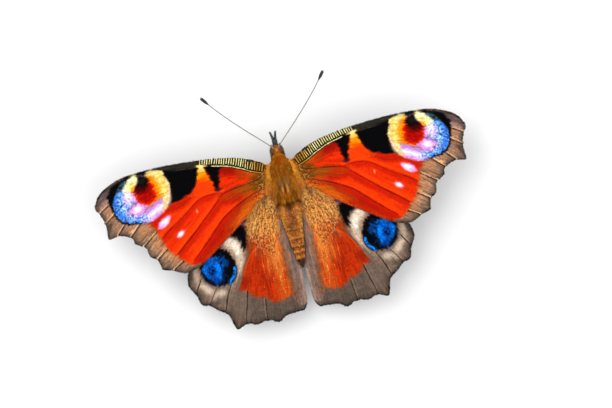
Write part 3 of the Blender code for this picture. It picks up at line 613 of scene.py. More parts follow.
def paint_forewing_base(paint, streak):
    """The browner base of the wing, the cell's dark top and the tan rear edge."""
    x, y = paint.x, paint.y
    paint.lay("rust", 0.75 * ramp(-x, -8.6, -5.6) * ramp(-y, 0.3, 0.9))
    paint.patch("crimson", ((5.6, 0.7), (7.0, 1.7), (8.5, 2.5), (9.9, 2.7), (9.9, 1.3), (8.4, 0.9),
        (6.8, 0.5)), 0.6, 0.95, 0.3)
    paint.glow("blood", (8.6, 2.1), (1.7, 0.6), 22.0, 0.75)
    paint.lay("blood", 0.6 * np.exp(-((x - 8.4) / 1.6) ** 2 - ((y - 1.5) / 0.9) ** 2)
              * ramp(streak, 0.1, 0.8))
    paint.patch("crimson", ((7.0, -0.9), (9.0, -1.2), (10.6, -1.7), (10.6, -3.2), (8.6, -3.4), (7.0, -2.9)),
        0.5, 0.85)
    paint.patch("rust", ((5.9, -1.0), (8.6, -1.4), (10.6, -1.95), (10.6, -2.7), (8.6, -2.9), (5.9, -2.5)),
        0.45, 0.75)
    paint.patch("brown", ((2.6, -0.5), (5.0, -0.75), (7.2, -1.15), (8.0, -1.5), (7.0, -2.2), (5.4, -2.25),
        (3.0, -1.8)), 0.6, 0.85, 0.3)
    paint.patch("rust", ((4.6, -2.9), (6.6, -3.7), (9.0, -5.0), (11.2, -7.2), (9.4, -7.2), (6.8, -5.7),
        (4.6, -4.2)), 0.5, 0.75)
    paint.patch("amber", ((3.6, -2.9), (5.6, -3.5), (7.4, -4.5), (8.8, -6.2), (9.4, -7.4), (7.4, -6.4),
        (4.6, -4.6)), 0.5, 0.85, 0.3)
    paint.patch("rust", ((2.0, 0.3), (4.6, 0.9), (6.6, 1.7), (7.4, 1.0), (6.2, -0.1), (3.4, -0.3)),
        0.5, 0.8, 0.3)
    paint.patch("amber", ((2.0, 0.3), (4.4, 0.9), (5.8, 1.5), (5.6, 0.7), (4.6, 0.0), (3.0, -0.3)),
        0.5, 0.6, 0.4)
    base = paint.inside(((1.5, 0.9), (3.2, 0.5), (4.6, 0.2), (5.6, -0.6), (5.2, -1.5), (3.9, -2.3),
        (1.6, -2.6)), 0.7, 0.3)
    fine = paint.wing.streaks(x, y, 0.13, 0.7, 5)
    paint.lay("umber", 0.85 * base)
    paint.lay("hair dark", 0.7 * base * ramp(fine, 0.1, 0.7))
    paint.lay("hair tan", 0.35 * base * ramp(-fine, 0.45, 0.9))
    paint.lay("umber", 0.5 * ramp(-x, -7.2, -5.0) * ramp(fine, 0.0, 0.8)
              * ramp(-y, 0.6, 1.0) * ramp(y, -2.6, -2.0))
    # Painted shade along the raised veins of the base, with painted light in amber beside the lower one.
    each(paint.stroke,
         ("crease", ((2.4, -0.35), (5.0, -0.78), (7.5, -1.1), (10.0, -1.6)), 0.05, 0.09, 0.85),
         ("crease", ((2.6, -1.9), (4.2, -2.3), (6.0, -3.0), (8.0, -3.9), (10.0, -5.0)), 0.04, 0.09, 0.8),
         ("amber", ((3.4, -1.95), (4.6, -2.25), (6.2, -2.9)), 0.06, 0.1, 0.7))
    rear = ((4.6, -4.1), (8.0, -6.75), (12.5, -9.9), (16.2, -12.25), (18.4, -12.9))
    paint.stroke("amber", rear, 0.16, 0.25, 0.6, 0.2)


def paint_forewing_margin(paint, streak, broad):
    """The brown outer border, with painted shade in its creases and painted light beside them, and the purple
    apex.
    """
    x, y = paint.x, paint.y
    outer = MARGIN_START + ((26.5, 3.7), (27.0, 4.6), (30.0, 4.4), (33.0, 2.0), (33.0, -6.0), (26.0, -13.0),
        (19.0, -15.0), (15.0, -13.0))
    fine = paint.wing.streaks(x, y, 0.12, 1.3, 4)
    paint.patch("rust", outer, 0.75, 0.9, 0.25)
    paint.patch("tan", outer, 0.50, 1.0, 0.25)
    edge = depth_inside(x, y, paint.wing.edge) + 0.10 * paint.ragged
    border = paint.inside(outer, 0.2)
    paint.lay("grey tan", border * 0.9 * ramp(-edge, -1.9, -0.8))
    paint.lay("bright tan", border * 0.45 * ramp(-broad, 0.2, 1.0))
    # The first five spots are painted light on the panels beside the creases.
    each(paint.glow,
         ("peach", (25.7, -4.0), (1.0, 0.45), -25.0, 0.85),
         ("sunlit tan", (25.8, -4.0), (0.7, 0.35), -25.0, 1.0),
         ("bright tan", (24.4, -4.1), (0.55, 0.25), -35.0, 0.6),
         ("bright tan", (23.6, -5.2), (0.5, 0.5), -35.0, 0.6),
         ("bright tan", (21.3, -9.4), (0.5, 0.9), -35.0, 0.6),
         ("grey tan", (28.2, -2.6), (0.7, 0.8), 0.0, 0.7))
    paint.patch("purple grey", ((27.0, 3.6), (28.4, 2.2), (28.9, 1.9), (31.4, 0.5), (31.6, 2.0),
        (29.8, 3.4), (27.6, 4.3)), 0.25, 0.95)
    paint.patch("rose brown", ((28.7, 2.0), (29.4, 1.7), (30.9, 0.6), (30.7, -0.2), (29.9, 0.1),
        (28.8, 0.9)), 0.2, 0.85)
    paint.lay("dark tan", border * 0.65 * ramp(fine, 0.1, 0.7))
    paint.lay("dark tan", border * 0.35 * ramp(streak, 0.1, 0.9))
    paint.lay("bright tan", border * 0.45 * ramp(-fine, 0.35, 0.9))
    paint.patch("crease", ((29.1, -2.1), (29.5, -2.4), (29.95, -2.5), (30.1, -3.2), (29.95, -3.75),
        (29.45, -3.4), (29.15, -2.9)), 0.22, 0.6)
    paint.glow("navy", (29.75, -3.1), (0.25, 0.55), 0.0, 0.55)
    paint.lay("dark tan", 0.85 * border * ramp(-edge, -0.95, -0.3))
    paint.lay("wing edge", ramp(-edge, -0.30, -0.14) * ramp(x, 14.5, 16.5))
    # Painted shade in each crease, with a band of painted light in peach beside it.
    for fold in FOREWING_FOLDS[1:]:
        start = np.array(fold[-2]) * 0.75 + np.array(fold[-1]) * 0.25
        line = (fold[-2], tuple(start), past_end(fold))
        shown = border > 0.3
        kept = paint.colour.copy()
        paint.beside("peach", line, 0.11, 0.26, 0.07, 0.95)
        paint.stroke("crease", line, 0.085, 0.06, 0.95)
        paint.colour = np.where(shown[:, None], paint.colour, kept)


def paint_costa(paint, streak):
    """The barred leading edge and the dark strip beyond it."""
    x, y = paint.x, paint.y
    above = line_offset(x, y, curve(BAR_FOOT, 0.5))
    strip = ramp(above, -0.55, -0.43) * ramp(-x, -13.5, -13.1)
    paint.lay("bar", strip)
    paint.lay("brown", strip * 0.65 * ramp(-x, -4.8, -3.0))
    far = ((13.3, 4.9), (13.2, 3.9), (13.5, 3.0), (16.0, 3.25), (18.0, 3.5), (19.2, 4.15), (20.4, 4.55),
        (21.6, 4.40), (23.4, 4.10), (25.4, 4.00), (26.8, 3.75), (28.4, 3.2), (29.6, 2.9), (30.0, 3.4),
        (26.0, 5.2), (20.0, 5.6), (13.6, 5.3))
    paint.patch("soot", far, 0.14)
    grey = paint.inside(((22.0, 4.5), (24.0, 4.2), (26.6, 3.95), (29.0, 3.1), (29.8, 3.0), (26.0, 4.9)),
        0.15)
    paint.lay("dark tan", 0.8 * grey)
    paint.lay("olive", 0.35 * paint.inside(far, 0.1) * ramp(streak, 0.3, 1.2))


def paint_black_patches(paint, streak):
    """The two black patches of the leading half and the pale spot between them."""
    between = paint.inside(((11.0, 3.45), (12.1, 3.60), (13.2, 3.85), (13.5, 3.2), (14.0, 2.4), (14.6, 1.3),
        (15.3, 0.0), (15.6, -0.8), (13.0, -1.0), (11.0, -0.7), (11.3, 0.8), (12.0, 2.2), (12.0, 3.0)), 0.2)
    level = paint.y + 0.25 * streak - 0.15 * (paint.x - 12.8)
    paint.lay("flame", 0.55 * between)
    paint.lay("orange", between * ramp(level, 0.7, 2.1))
    paint.lay("lemon", between * ramp(level, 2.2, 3.2))
    paint.glow("pale lemon", (12.7, 3.55), (0.8, 0.25), 15.0, 0.6)
    paint.patch("black", ((9.5, 3.15), (10.9, 3.5), (12.05, 3.45), (12.05, 2.7), (11.75, 1.9), (11.4, 1.1),
        (11.2, 0.2), (11.0, -0.8), (10.5, -0.9), (10.25, 0.2), (10.0, 1.4), (9.8, 2.4), (9.2, 2.75)),
        0.25, 1.0, 0.2)
    each(paint.glow,
         ("black", (10.75, 0.5), (0.35, 1.5), 0.0, 0.8), ("dusk", (10.6, -0.75), (0.7, 0.35), 0.0, 0.8))
    paint.patch("black", ((13.2, 3.5), (13.35, 2.8), (13.6, 2.2), (13.85, 1.5), (14.2, 0.9), (14.6, 0.4),
        (15.2, -0.1), (15.9, -0.5), (16.7, -0.85), (17.6, -1.12), (18.5, -1.25), (19.4, -1.55),
        (20.2, -1.0), (20.4, 1.5), (20.0, 4.3), (19.1, 4.25), (17.8, 3.95), (16.0, 3.7)), 0.2, 1.0, 0.15)


def paint_forewing_eyespot(paint, streak):
    """The large eyespot near the forewing's tip."""
    x, y = paint.x, paint.y
    paint.patch("black", ((24.6, 4.45), (26.2, 4.15), (27.2, 3.75), (28.1, 3.1), (28.65, 2.3), (28.75, 1.3),
        (28.6, 0.3), (28.35, -0.8), (28.0, -1.8), (27.35, -2.65), (26.3, -3.2), (25.2, -3.3), (24.2, -3.45),
        (23.9, -3.2), (24.8, -1.0), (24.5, 2.5)), 0.18, 1.0, 0.15)
    paint.patch("sky", EYESPOT, 0.16, 1.0, 0.12)
    paint_blue_rim(paint, streak)
    paint_pearl_patches(paint)
    paint_yellow_crescent(paint)
    paint_eyespot_core(paint, streak)
    each(paint.glow,
         ("teal", (26.3, 3.1), (1.0, 0.42), -42.0, 1.0), ("teal", (25.95, 3.4), (0.75, 0.34), -38.0, 1.0),
         ("black", (26.9, 3.4), (0.7, 0.34), -42.0, 0.9))
    clouds = noise(x, y, 0.3, 31)
    corner = paint.inside(((25.0, 4.2), (26.4, 3.9), (27.6, 3.0), (27.2, 2.6), (26.2, 3.0), (25.2, 3.6)),
        0.4)
    paint.lay("black", corner * ramp(clouds, 0.44, 0.66))
    below = paint.inside(((25.7, 3.0), (26.6, 2.9), (27.4, 2.1), (27.0, 1.8), (26.0, 2.3)), 0.3)
    paint.lay("pale sky", 0.4 * below * ramp(-clouds, -0.46, -0.30))
    mottle = noise(x, y, 0.22, 24) - 0.5
    paint.shade(0.22 * mottle * paint.inside(EYESPOT, 0.3))


def paint_blue_rim(paint, streak):
    """The blue outer rim of the eyespot, darker and streaked towards the wing's edge."""
    x, y = paint.x, paint.y
    rim = ((26.1, 2.6), (27.0, 2.15), (27.6, 1.3), (27.75, 0.3), (27.6, -0.8), (27.1, -1.85), (26.2, -2.5),
        (25.2, -2.75), (24.2, -2.95), (23.4, -3.05))
    distance = np.abs(line_offset(x, y, curve(rim, 0.5)))
    within = paint.inside(EYESPOT, 0.12)
    paint.lay("blue", within * ramp(1.05 - distance + 0.25 * paint.ragged, -0.25, 0.3))
    paint.lay("deep blue", 0.65 * within * ramp(streak + 0.5 * paint.ragged, 0.1, 0.8)
              * ramp(0.95 - distance, 0.0, 0.4))
    turn = np.arctan2(y - 0.4, x - 24.0)
    reach = np.hypot(x - 24.0, y - 0.4)
    spokes = noise(turn * 9.0, reach * 0.9, 0.42, 29)
    paint.lay("navy", 0.75 * within * ramp(spokes, 0.62, 0.82) * ramp(0.8 - distance, 0.0, 0.4))
    paint.lay("pale sky", 0.55 * within * ramp(-spokes, -0.40, -0.16) * ramp(0.85 - distance, 0.0, 0.4))
    each(paint.glow,
         ("pale sky", (25.8, -2.35), (0.55, 0.3), 15.0, 0.55),
         ("pale sky", (23.8, -2.75), (0.55, 0.28), 0.0, 0.8),
         ("bright sky", (27.1, 1.0), (0.5, 0.5), 0.0, 0.7),
         ("rim blue", (26.9, -1.2), (0.6, 0.9), -20.0, 0.8),
         ("deep blue", (26.9, -1.3), (0.5, 0.8), -20.0, 0.36))
    pits = noise(x, y, 0.19, 36)
    paint.lay("deep blue", 0.7 * within * ramp(pits, 0.56, 0.74) * ramp(0.7 - distance, 0.0, 0.5))
    paint.lay("navy", 0.6 * within * ramp(pits, 0.68, 0.84) * ramp(0.5 - distance, 0.0, 0.5))
    for spot, size in (((27.5, 1.6), (0.42, 0.2)), ((27.85, 0.5), (0.25, 0.45)), ((27.9, -0.8), (0.2, 0.4)),
                       ((26.6, -2.5), (0.5, 0.12)), ((24.6, -3.05), (0.45, 0.14))):
        paint.glow("deep blue", spot, size, -35.0, 0.85)
    each(paint.stroke,
         ("navy", ((26.1, 0.5), (26.9, 0.05)), 0.08, 0.12, 0.9),
         ("deep blue", ((26.9, 0.05), (27.9, -0.6)), 0.09, 0.1, 0.9),
         ("navy", ((26.6, 1.1), (27.6, 0.75)), 0.05, 0.1, 0.6),
         ("deep blue", ((26.0, -1.95), (26.8, -2.6)), 0.08, 0.1, 0.85),
         ("navy", ((24.7, -2.1), (25.1, -2.8)), 0.06, 0.1, 0.65))
    paint.glow("navy", (25.0, -3.02), (0.3, 0.12), 0.0, 0.8)


def paint_yellow_crescent(paint):
    """The pale yellow inner side of the eyespot, orange towards the red heart."""
    x, y = paint.x, paint.y
    crescent = paint.inside(((19.1, 4.3), (18.85, 3.3), (18.35, 2.3), (18.3, 1.3), (18.45, 0.5),
        (18.75, -0.4), (19.2, -1.25), (19.75, -1.9), (20.5, -2.45), (20.1, -1.5), (19.8, -0.7), (20.0, 0.0),
        (21.2, -0.3), (22.3, -0.95), (22.6, -0.4), (22.4, 1.5), (22.2, 3.3), (22.0, 4.35), (21.0, 4.62),
        (20.0, 4.5)), 0.16, 0.12)
    paint.lay("lemon", crescent)
    each(paint.glow,
         ("cream", (19.1, -0.5), (0.6, 1.0), 22.0, 0.75), ("peach", (18.75, 0.3), (0.35, 1.4), 12.0, 0.75),
         ("peach", (18.75, 2.6), (0.22, 1.1), -8.0, 0.4), ("pink", (20.2, -2.25), (0.6, 0.2), -38.0, 0.6),
         ("peach", (19.7, -1.6), (0.5, 0.3), -38.0, 0.7),
         ("pale lemon", (20.6, 4.2), (1.3, 0.34), 8.0, 0.8))
    fibres = paint.wing.streaks(x, y, 0.15, 1.0, 34)
    paint.lay("amber", 0.28 * crescent * ramp(fibres, 0.2, 0.9))
    paint.lay("pale lemon", 0.5 * crescent * ramp(-fibres, 0.3, 1.0))
    reach = np.hypot(x - 22.5, (y - 1.3) / 1.12) - 0.30 * paint.ragged
    paint.lay("orange", crescent * ramp(-reach, -3.05, -2.10))
    paint.lay("flame", 0.9 * crescent * ramp(-reach, -2.1, -1.5))


def paint_eyespot_core(paint, streak):
    """The red heart of the eyespot with the black and yellow blotches above it."""
    heart = ((21.2, 2.9), (20.95, 2.1), (20.8, 1.1), (20.95, 0.3), (21.5, -0.25), (22.2, -0.6),
        (23.0, -0.45), (23.8, 0.05), (24.2, 0.6), (24.3, 1.3), (24.6, 1.9), (24.6, 2.5), (23.8, 3.1),
        (22.6, 3.2), (21.8, 3.1))
    paint.patch("red", heart, 0.28, 1.0, 0.25)
    paint.patch("core red", ((21.5, 2.8), (21.2, 1.9), (21.1, 0.9), (21.6, 0.1), (22.3, -0.25),
        (23.1, -0.05), (23.8, 0.4), (24.0, 1.2), (24.2, 2.0), (24.1, 2.7), (22.8, 3.0)), 0.4, 1.0, 0.25)
    paint.lay("red", 0.4 * paint.inside(heart, 0.3) * ramp(-streak, 0.3, 1.0))
    paint.lay("maroon", 0.5 * paint.inside(heart, 0.3) * ramp(streak, 0.3, 1.0))
    paint.patch("maroon", ((21.7, 2.6), (22.1, 1.8), (23.0, 1.4), (23.9, 1.65), (24.3, 2.1), (24.1, 2.6),
        (23.4, 2.9), (22.4, 3.0)), 0.45, 1.0, 0.25)
    paint.patch("straw", ((23.1, 4.5), (23.3, 3.8), (23.7, 3.7), (24.3, 4.1), (24.4, 4.4), (23.8, 4.6)),
        0.15, 0.9)
    paint.patch("black", ((21.95, 4.8), (21.8, 3.9), (21.75, 3.1), (22.0, 2.6), (22.8, 2.4), (23.5, 2.55),
        (23.75, 2.95), (23.4, 3.35), (23.25, 3.8), (23.35, 4.7)), 0.28, 1.0, 0.25)
    each(paint.glow,
         ("soot", (22.7, 3.4), (0.7, 0.5), 0.0, 0.6), ("purple grey", (22.55, 4.2), (0.5, 0.24), 15.0, 0.7),
         ("black", (23.0, 3.95), (0.34, 0.34), 0.0, 0.9), ("bone", (23.2, 4.35), (0.30, 0.10), 15.0, 0.4))
    paint.patch("pale lemon", ((23.35, 3.6), (23.7, 3.05), (24.15, 2.6), (24.4, 2.15), (25.0, 2.05),
        (25.6, 2.1), (26.0, 2.5), (26.05, 3.0), (25.7, 3.5), (25.2, 3.9), (24.5, 4.15), (23.8, 4.1)),
        0.25, 1.0, 0.16)
    each(paint.glow,
         ("pale lemon", (23.5, 3.95), (0.30, 0.34), 0.0, 1.0),
         ("lemon", (24.3, 2.95), (0.75, 0.32), -35.0, 0.9),
         ("cream", (24.5, 3.85), (0.75, 0.3), -10.0, 0.8), ("ivory", (25.8, 2.4), (0.4, 0.5), 0.0, 0.9),
         ("orange", (24.4, 2.4), (0.45, 0.24), -40.0, 1.0))


def paint_pearl_patches(paint):
    """The white and pink patches between the red heart and the blue rim."""
    x, y = paint.x, paint.y
    paint.patch("lilac", ((24.2, 2.0), (24.1, 1.0), (24.2, 0.4), (24.8, 0.1), (25.5, -0.15), (26.2, 0.2),
        (26.3, 0.9), (26.2, 1.7), (25.3, 2.2)), 0.35, 0.8)
    each(paint.glow,
         ("pink", (24.65, 0.85), (0.45, 0.8), -8.0, 0.75), ("pink", (26.1, 1.0), (0.25, 0.5), 0.0, 0.35),
         ("white", (25.35, 1.35), (0.55, 1.0), -12.0, 1.0))
    paint.patch("pink", ((22.4, -0.55), (23.1, -0.05), (23.9, 0.1), (24.8, -0.2), (25.6, -0.6),
        (25.95, -1.2), (25.3, -1.95), (24.4, -2.25), (23.4, -1.9), (22.8, -1.2)), 0.32, 0.9)
    each(paint.glow,
         ("lilac", (23.6, -0.4), (0.9, 0.3), -8.0, 0.5), ("lilac", (24.3, -1.95), (0.9, 0.3), -8.0, 0.7),
         ("white", (24.35, -0.98), (0.75, 0.45), -15.0, 1.0))
    paint.patch("lilac", ((19.9, -0.35), (20.5, -0.35), (21.4, -0.85), (22.4, -1.3), (23.1, -1.9),
        (23.5, -2.5), (23.7, -3.2), (22.8, -3.3), (21.8, -2.95), (20.8, -2.4), (20.1, -1.6)), 0.25)
    each(paint.stroke,
         ("mauve pink", ((19.9, -0.45), (20.9, -0.7), (21.9, -1.15), (22.9, -1.75)), 0.20, 0.2, 0.95),
         ("mauve pink", ((19.8, -0.1), (20.6, -0.2), (21.4, -0.52), (22.4, -1.08)), 0.14, 0.14, 0.9),
         ("pink", ((20.3, -1.9), (21.3, -2.75), (22.4, -3.15)), 0.18, 0.25, 0.9),
         ("white", ((20.4, -1.35), (21.2, -1.75), (22.1, -2.2), (22.9, -2.75)), 0.28, 0.35, 1.0))
    paint.glow("pale sky", (23.6, -2.6), (0.45, 0.35), -40.0, 0.5)
    each(paint.stroke,
         ("mauve", ((23.3, 0.22), (24.3, 0.13), (25.2, -0.28), (25.95, -0.75), (26.2, -1.2)),
          0.08, 0.12, 0.9),
         ("core red", ((23.2, 0.22), (24.0, 0.2), (24.7, 0.0)), 0.08, 0.12, 0.7),
         ("mauve", ((21.9, -0.75), (22.6, -1.1), (23.4, -1.75)), 0.08, 0.12, 0.9))
    each(paint.glow,
         ("dusk", (25.35, -1.62), (0.34, 0.18), 10.0, 0.85), ("mauve", (25.7, -1.25), (0.4, 0.3), 0.0, 0.5))
    near_rim = paint.inside(((24.6, 0.2), (25.2, 1.6), (26.2, 2.0), (27.2, 1.2), (27.4, 0.2), (26.6, -2.2),
        (24.6, -2.9), (22.6, -3.2), (22.8, -2.2), (24.2, -1.9), (25.4, -0.9)), 0.4)
    specks = noise(x, y, 0.17, 26)
    paint.lay("deep blue", 0.55 * near_rim * ramp(specks, 0.60, 0.78))
    paint.lay("white", 0.6 * near_rim * ramp(-specks, -0.38, -0.22))
    pearl = paint.inside(((24.2, 2.0), (26.2, 1.9), (26.3, -1.0), (24.6, -2.3), (22.4, -0.8)), 0.3)
    paint.lay("mauve", 0.30 * pearl * ramp(noise(x, y, 0.19, 30), 0.58, 0.8))


def paint_forewing_spots(paint):
    """The two white spots below the eyespot."""
    paint.patch("pink", ((19.25, -3.1), (19.8, -3.15), (20.6, -3.4), (21.3, -4.0), (21.8, -4.85),
        (21.2, -5.0), (20.3, -4.6), (19.7, -4.1)), 0.2)
    each(paint.glow,
         ("white", (20.3, -4.0), (0.85, 0.48), -32.0, 1.0),
         ("lilac", (19.7, -3.4), (0.4, 0.25), -32.0, 0.7))
    paint.stroke("lilac", ((20.6, -4.35), (21.3, -4.75)), 0.06, 0.12, 0.9)
    each(paint.glow,
         ("pink", (18.3, -6.5), (0.72, 0.42), -35.0, 1.0),
         ("white", (18.28, -6.48), (0.62, 0.34), -35.0, 1.0))


def paint_hindwing(wing, x, y):
    """Upper side of the hindwing."""
    paint = Canvas(wing, x, y, "ash")
    streak = wing.streaks(x, y, 0.15, 2.4, 12)
    broad = wing.streaks(x, y, 0.5, 4.0, 13)
    paint.lay("warm ash", 0.7 * ramp(x, 7.5, 11.5))
    paint.lay("warm ash", 0.5 * ramp(-broad, 0.1, 1.0))
    paint.lay("dark ash", 0.6 * ramp(streak, 0.2, 1.2) + 0.3 * ramp(-y, 21.0, 23.5))
    paint_inner_strip(paint)
    paint_outer_cream(paint, streak)
    paint_brick_field(paint, streak, broad)
    paint_hindwing_cream(paint, streak)
    paint_hindwing_eyespot(paint)
    paint_hindwing_edge(paint)
    cross = noise(x * 0.6, y * 2.2, 0.3, 27) - 0.5
    paint.shade(0.11 * streak + 0.05 * broad + 0.16 * cross)
    return paint.colour


def paint_inner_strip(paint):
    """The mauve strip beside the abdomen."""
    x, y = paint.x, paint.y
    paint.patch("mauve grey", ((0.0, -16.0), (0.6, -12.0), (1.2, -7.0), (2.6, -7.0), (2.9, -10.0),
        (2.9, -13.0), (2.7, -16.0), (2.3, -20.0), (1.4, -23.4), (0.0, -23.4)), 0.45, 0.95, 0.2)
    paint.patch("fawn", ((2.2, -12.0), (3.1, -12.0), (3.0, -18.0), (2.8, -20.8), (1.6, -20.8),
        (1.9, -16.0)), 0.45, 0.8, 0.4)
    strip = ramp(-x, -3.2, -2.4)
    fine = paint.wing.streaks(x, y, 0.16, 0.5, 15)
    paint.lay("dark ash", 0.55 * strip * ramp(fine, 0.2, 0.9))
    paint.lay("hair rust", 0.45 * strip * ramp(x, 1.3, 2.4) * ramp(-fine, 0.0, 0.7) * ramp(y, -20.0, -17.0))
    # Painted light that brightens the gutter beside the abdomen and the wing's steep inner edge, which the
    # fold down puts in shade.
    trench_light = ramp(-x, -3.2, -1.8) * ramp(-y, 6.0, 8.0) * ramp(y, -18.5, -15.0)
    paint.shade(0.12 * trench_light)
    paint.shade(0.30 * ramp(-x, -1.3, -0.5) * ramp(-y, 13.0, 16.0))


def paint_outer_cream(paint, streak):
    """The pale outer border round the eyespot, crossed by creases."""
    paint.patch("warm ash", ((16.4, -12.0), (19.5, -12.5), (19.5, -17.0), (18.0, -19.5), (14.5, -21.0),
        (13.3, -20.0), (12.0, -17.0), (13.5, -16.2), (16.4, -15.0)), 0.3, 0.9)
    each(paint.glow,
         ("bone", (17.4, -13.6), (0.55, 1.5), 5.0, 0.6), ("bone", (17.0, -15.2), (0.5, 0.7), 35.0, 0.6),
         ("ivory", (15.9, -16.7), (0.9, 0.65), 35.0, 0.7), ("bone", (16.6, -15.9), (0.9, 0.5), 30.0, 0.8),
         ("bone", (13.9, -17.5), (1.0, 0.65), 0.0, 0.9), ("bone", (15.0, -17.7), (0.3, 0.9), 35.0, 0.6))
    paint.lay("fawn", 0.35 * ramp(streak, 0.2, 0.9) * ramp(paint.x, 11.0, 13.0))
    each(paint.glow,
         ("dark ash", (18.4, -13.4), (0.5, 1.4), 0.0, 0.65),
         ("dark ash", (17.4, -17.4), (0.6, 0.9), -20.0, 0.55),
         ("dark ash", (15.3, -18.9), (0.7, 0.5), 0.0, 0.6),
         ("dark ash", (12.9, -21.0), (0.4, 1.2), 0.0, 0.45), ("fawn", (12.6, -22.8), (0.35, 0.8), 0.0, 0.5))


def paint_brick_field(paint, streak, broad):
    """The red field, orange and tan towards the body."""
    x, y = paint.x, paint.y
    field = ((2.6, -7.0), (4.5, -5.0), (7.0, -6.0), (7.6, -9.5), (7.6, -11.4), (8.1, -12.2), (9.2, -14.0),
        (10.2, -15.9), (10.95, -17.2), (10.5, -17.75), (9.8, -18.0), (9.1, -18.8), (8.5, -19.3),
        (7.5, -19.4), (6.6, -20.0), (5.5, -20.8), (4.4, -20.5), (2.9, -20.1), (2.8, -17.0), (3.05, -12.0))
    paint.lay("fawn", 0.6 * paint.inside(field, 0.9, 0.2))
    inside = paint.inside(field, 0.46, 0.26)
    paint.lay("brick", inside)
    paint.lay("dark brick", inside * (0.45 * ramp(streak, 0.2, 1.2) + 0.3 * ramp(broad, 0.2, 1.0)))
    paint.lay("flame", 0.25 * inside * ramp(-streak, 0.2, 1.1))
    fine = paint.wing.streaks(x, y, 0.16, 1.5, 61)
    paint.lay("dark brick", 0.75 * inside * ramp(fine, -0.1, 0.7))
    paint.lay("rust", 0.35 * inside * ramp(-fine, 0.3, 0.9))
    each(paint.glow,
         ("dark brick", (10.0, -16.6), (1.2, 0.9), -50.0, 0.9),
         ("dark brick", (6.2, -16.2), (1.1, 1.6), 10.0, 0.4))
    tawny = ramp(-x - 0.35 * y, -1.8, 0.4) * ramp(y, -17.5, -12.5)
    paint.lay("strand orange", inside * tawny * (0.85 - 0.3 * streak))
    paint.lay("hair orange", inside * ramp(-x, -6.4, -3.4) * (0.4 - 0.4 * streak))
    paint.lay("fawn", inside * 0.5 * ramp(x, 5.2, 6.2) * ramp(-x, -8.2, -6.8) * ramp(y, -14.0, -11.5))
    base = ramp(y, -10.6, -8.6) * ramp(-x, -8.4, -7.4)
    base *= ramp(x + 0.22 * (y + 7.0), 1.7, 2.5)
    paint.lay("hair tan", base * (0.8 + 0.2 * streak))
    paint.glow("rust", (7.3, -10.3), (1.2, 1.3), -60.0, 0.45)
    paint.stroke("flame", ((5.6, -10.4), (6.7, -11.3), (8.0, -12.5), (9.0, -13.9), (9.8, -15.3)),
        0.10, 0.16, 0.8)


def paint_hindwing_cream(paint, streak):
    """The cream patch and strip inside the eyespot, and the black patch above."""
    patch = ((9.2, -9.6), (10.2, -8.6), (11.8, -8.9), (13.0, -10.0), (12.4, -10.9), (11.4, -11.6),
        (11.0, -12.8), (10.8, -13.8), (11.1, -15.0), (12.3, -16.6), (12.4, -17.4), (11.4, -17.6),
        (10.6, -16.6), (9.9, -14.9), (9.4, -13.8), (8.7, -12.6), (8.5, -11.4), (8.8, -10.4))
    paint.patch("grey tan", patch, 0.25)
    paint.patch("bone", ((9.3, -9.9), (10.2, -9.0), (11.5, -9.0), (12.2, -10.0), (11.6, -10.8),
        (11.0, -11.7), (10.5, -12.9), (10.3, -14.0), (10.6, -15.0), (10.1, -14.6), (9.5, -13.6),
        (9.0, -12.6), (8.9, -11.6), (8.95, -10.6)), 0.35, 0.85)
    each(paint.glow,
         ("fawn", (11.9, -10.1), (0.6, 0.9), -30.0, 0.55), ("fawn", (8.9, -11.8), (0.3, 1.0), 15.0, 0.5),
         ("fawn", (11.1, -11.2), (0.5, 0.5), 0.0, 0.5),
         ("bright ivory", (11.0, -9.5), (0.85, 0.6), -20.0, 1.0),
         ("bright ivory", (10.0, -10.9), (0.62, 1.1), -8.0, 1.0),
         ("bone", (9.75, -13.0), (0.22, 1.1), 30.0, 0.7),
         ("grey tan", (10.7, -12.1), (0.35, 1.0), 10.0, 0.6),
         ("ash", (11.15, -16.4), (0.45, 1.3), 32.0, 0.75))
    paint.stroke("bone", ((9.3, -12.4), (10.1, -14.0), (10.9, -15.6), (11.6, -17.0)), 0.05, 0.10, 0.55)
    paint.lay("fawn", 0.5 * ramp(streak, 0.1, 0.8) * paint.inside(((9.0, -10.0), (12.2, -9.0),
        (12.2, -11.0), (11.0, -13.0), (11.5, -16.0), (9.2, -13.0)), 0.3))
    paint.patch("black", ((7.75, -6.7), (8.6, -6.9), (9.6, -7.6), (10.6, -8.3), (10.1, -8.75), (9.45, -9.2),
        (9.05, -9.9), (8.95, -10.6), (8.75, -11.25), (8.35, -11.0), (8.1, -10.2), (7.95, -9.0),
        (7.85, -7.8)), 0.40, 1.0, 0.35)
    each(paint.glow,
         ("rust", (8.1, -11.1), (0.35, 0.9), 0.0, 0.5), ("lilac", (7.9, -7.1), (0.35, 0.5), 30.0, 0.45))


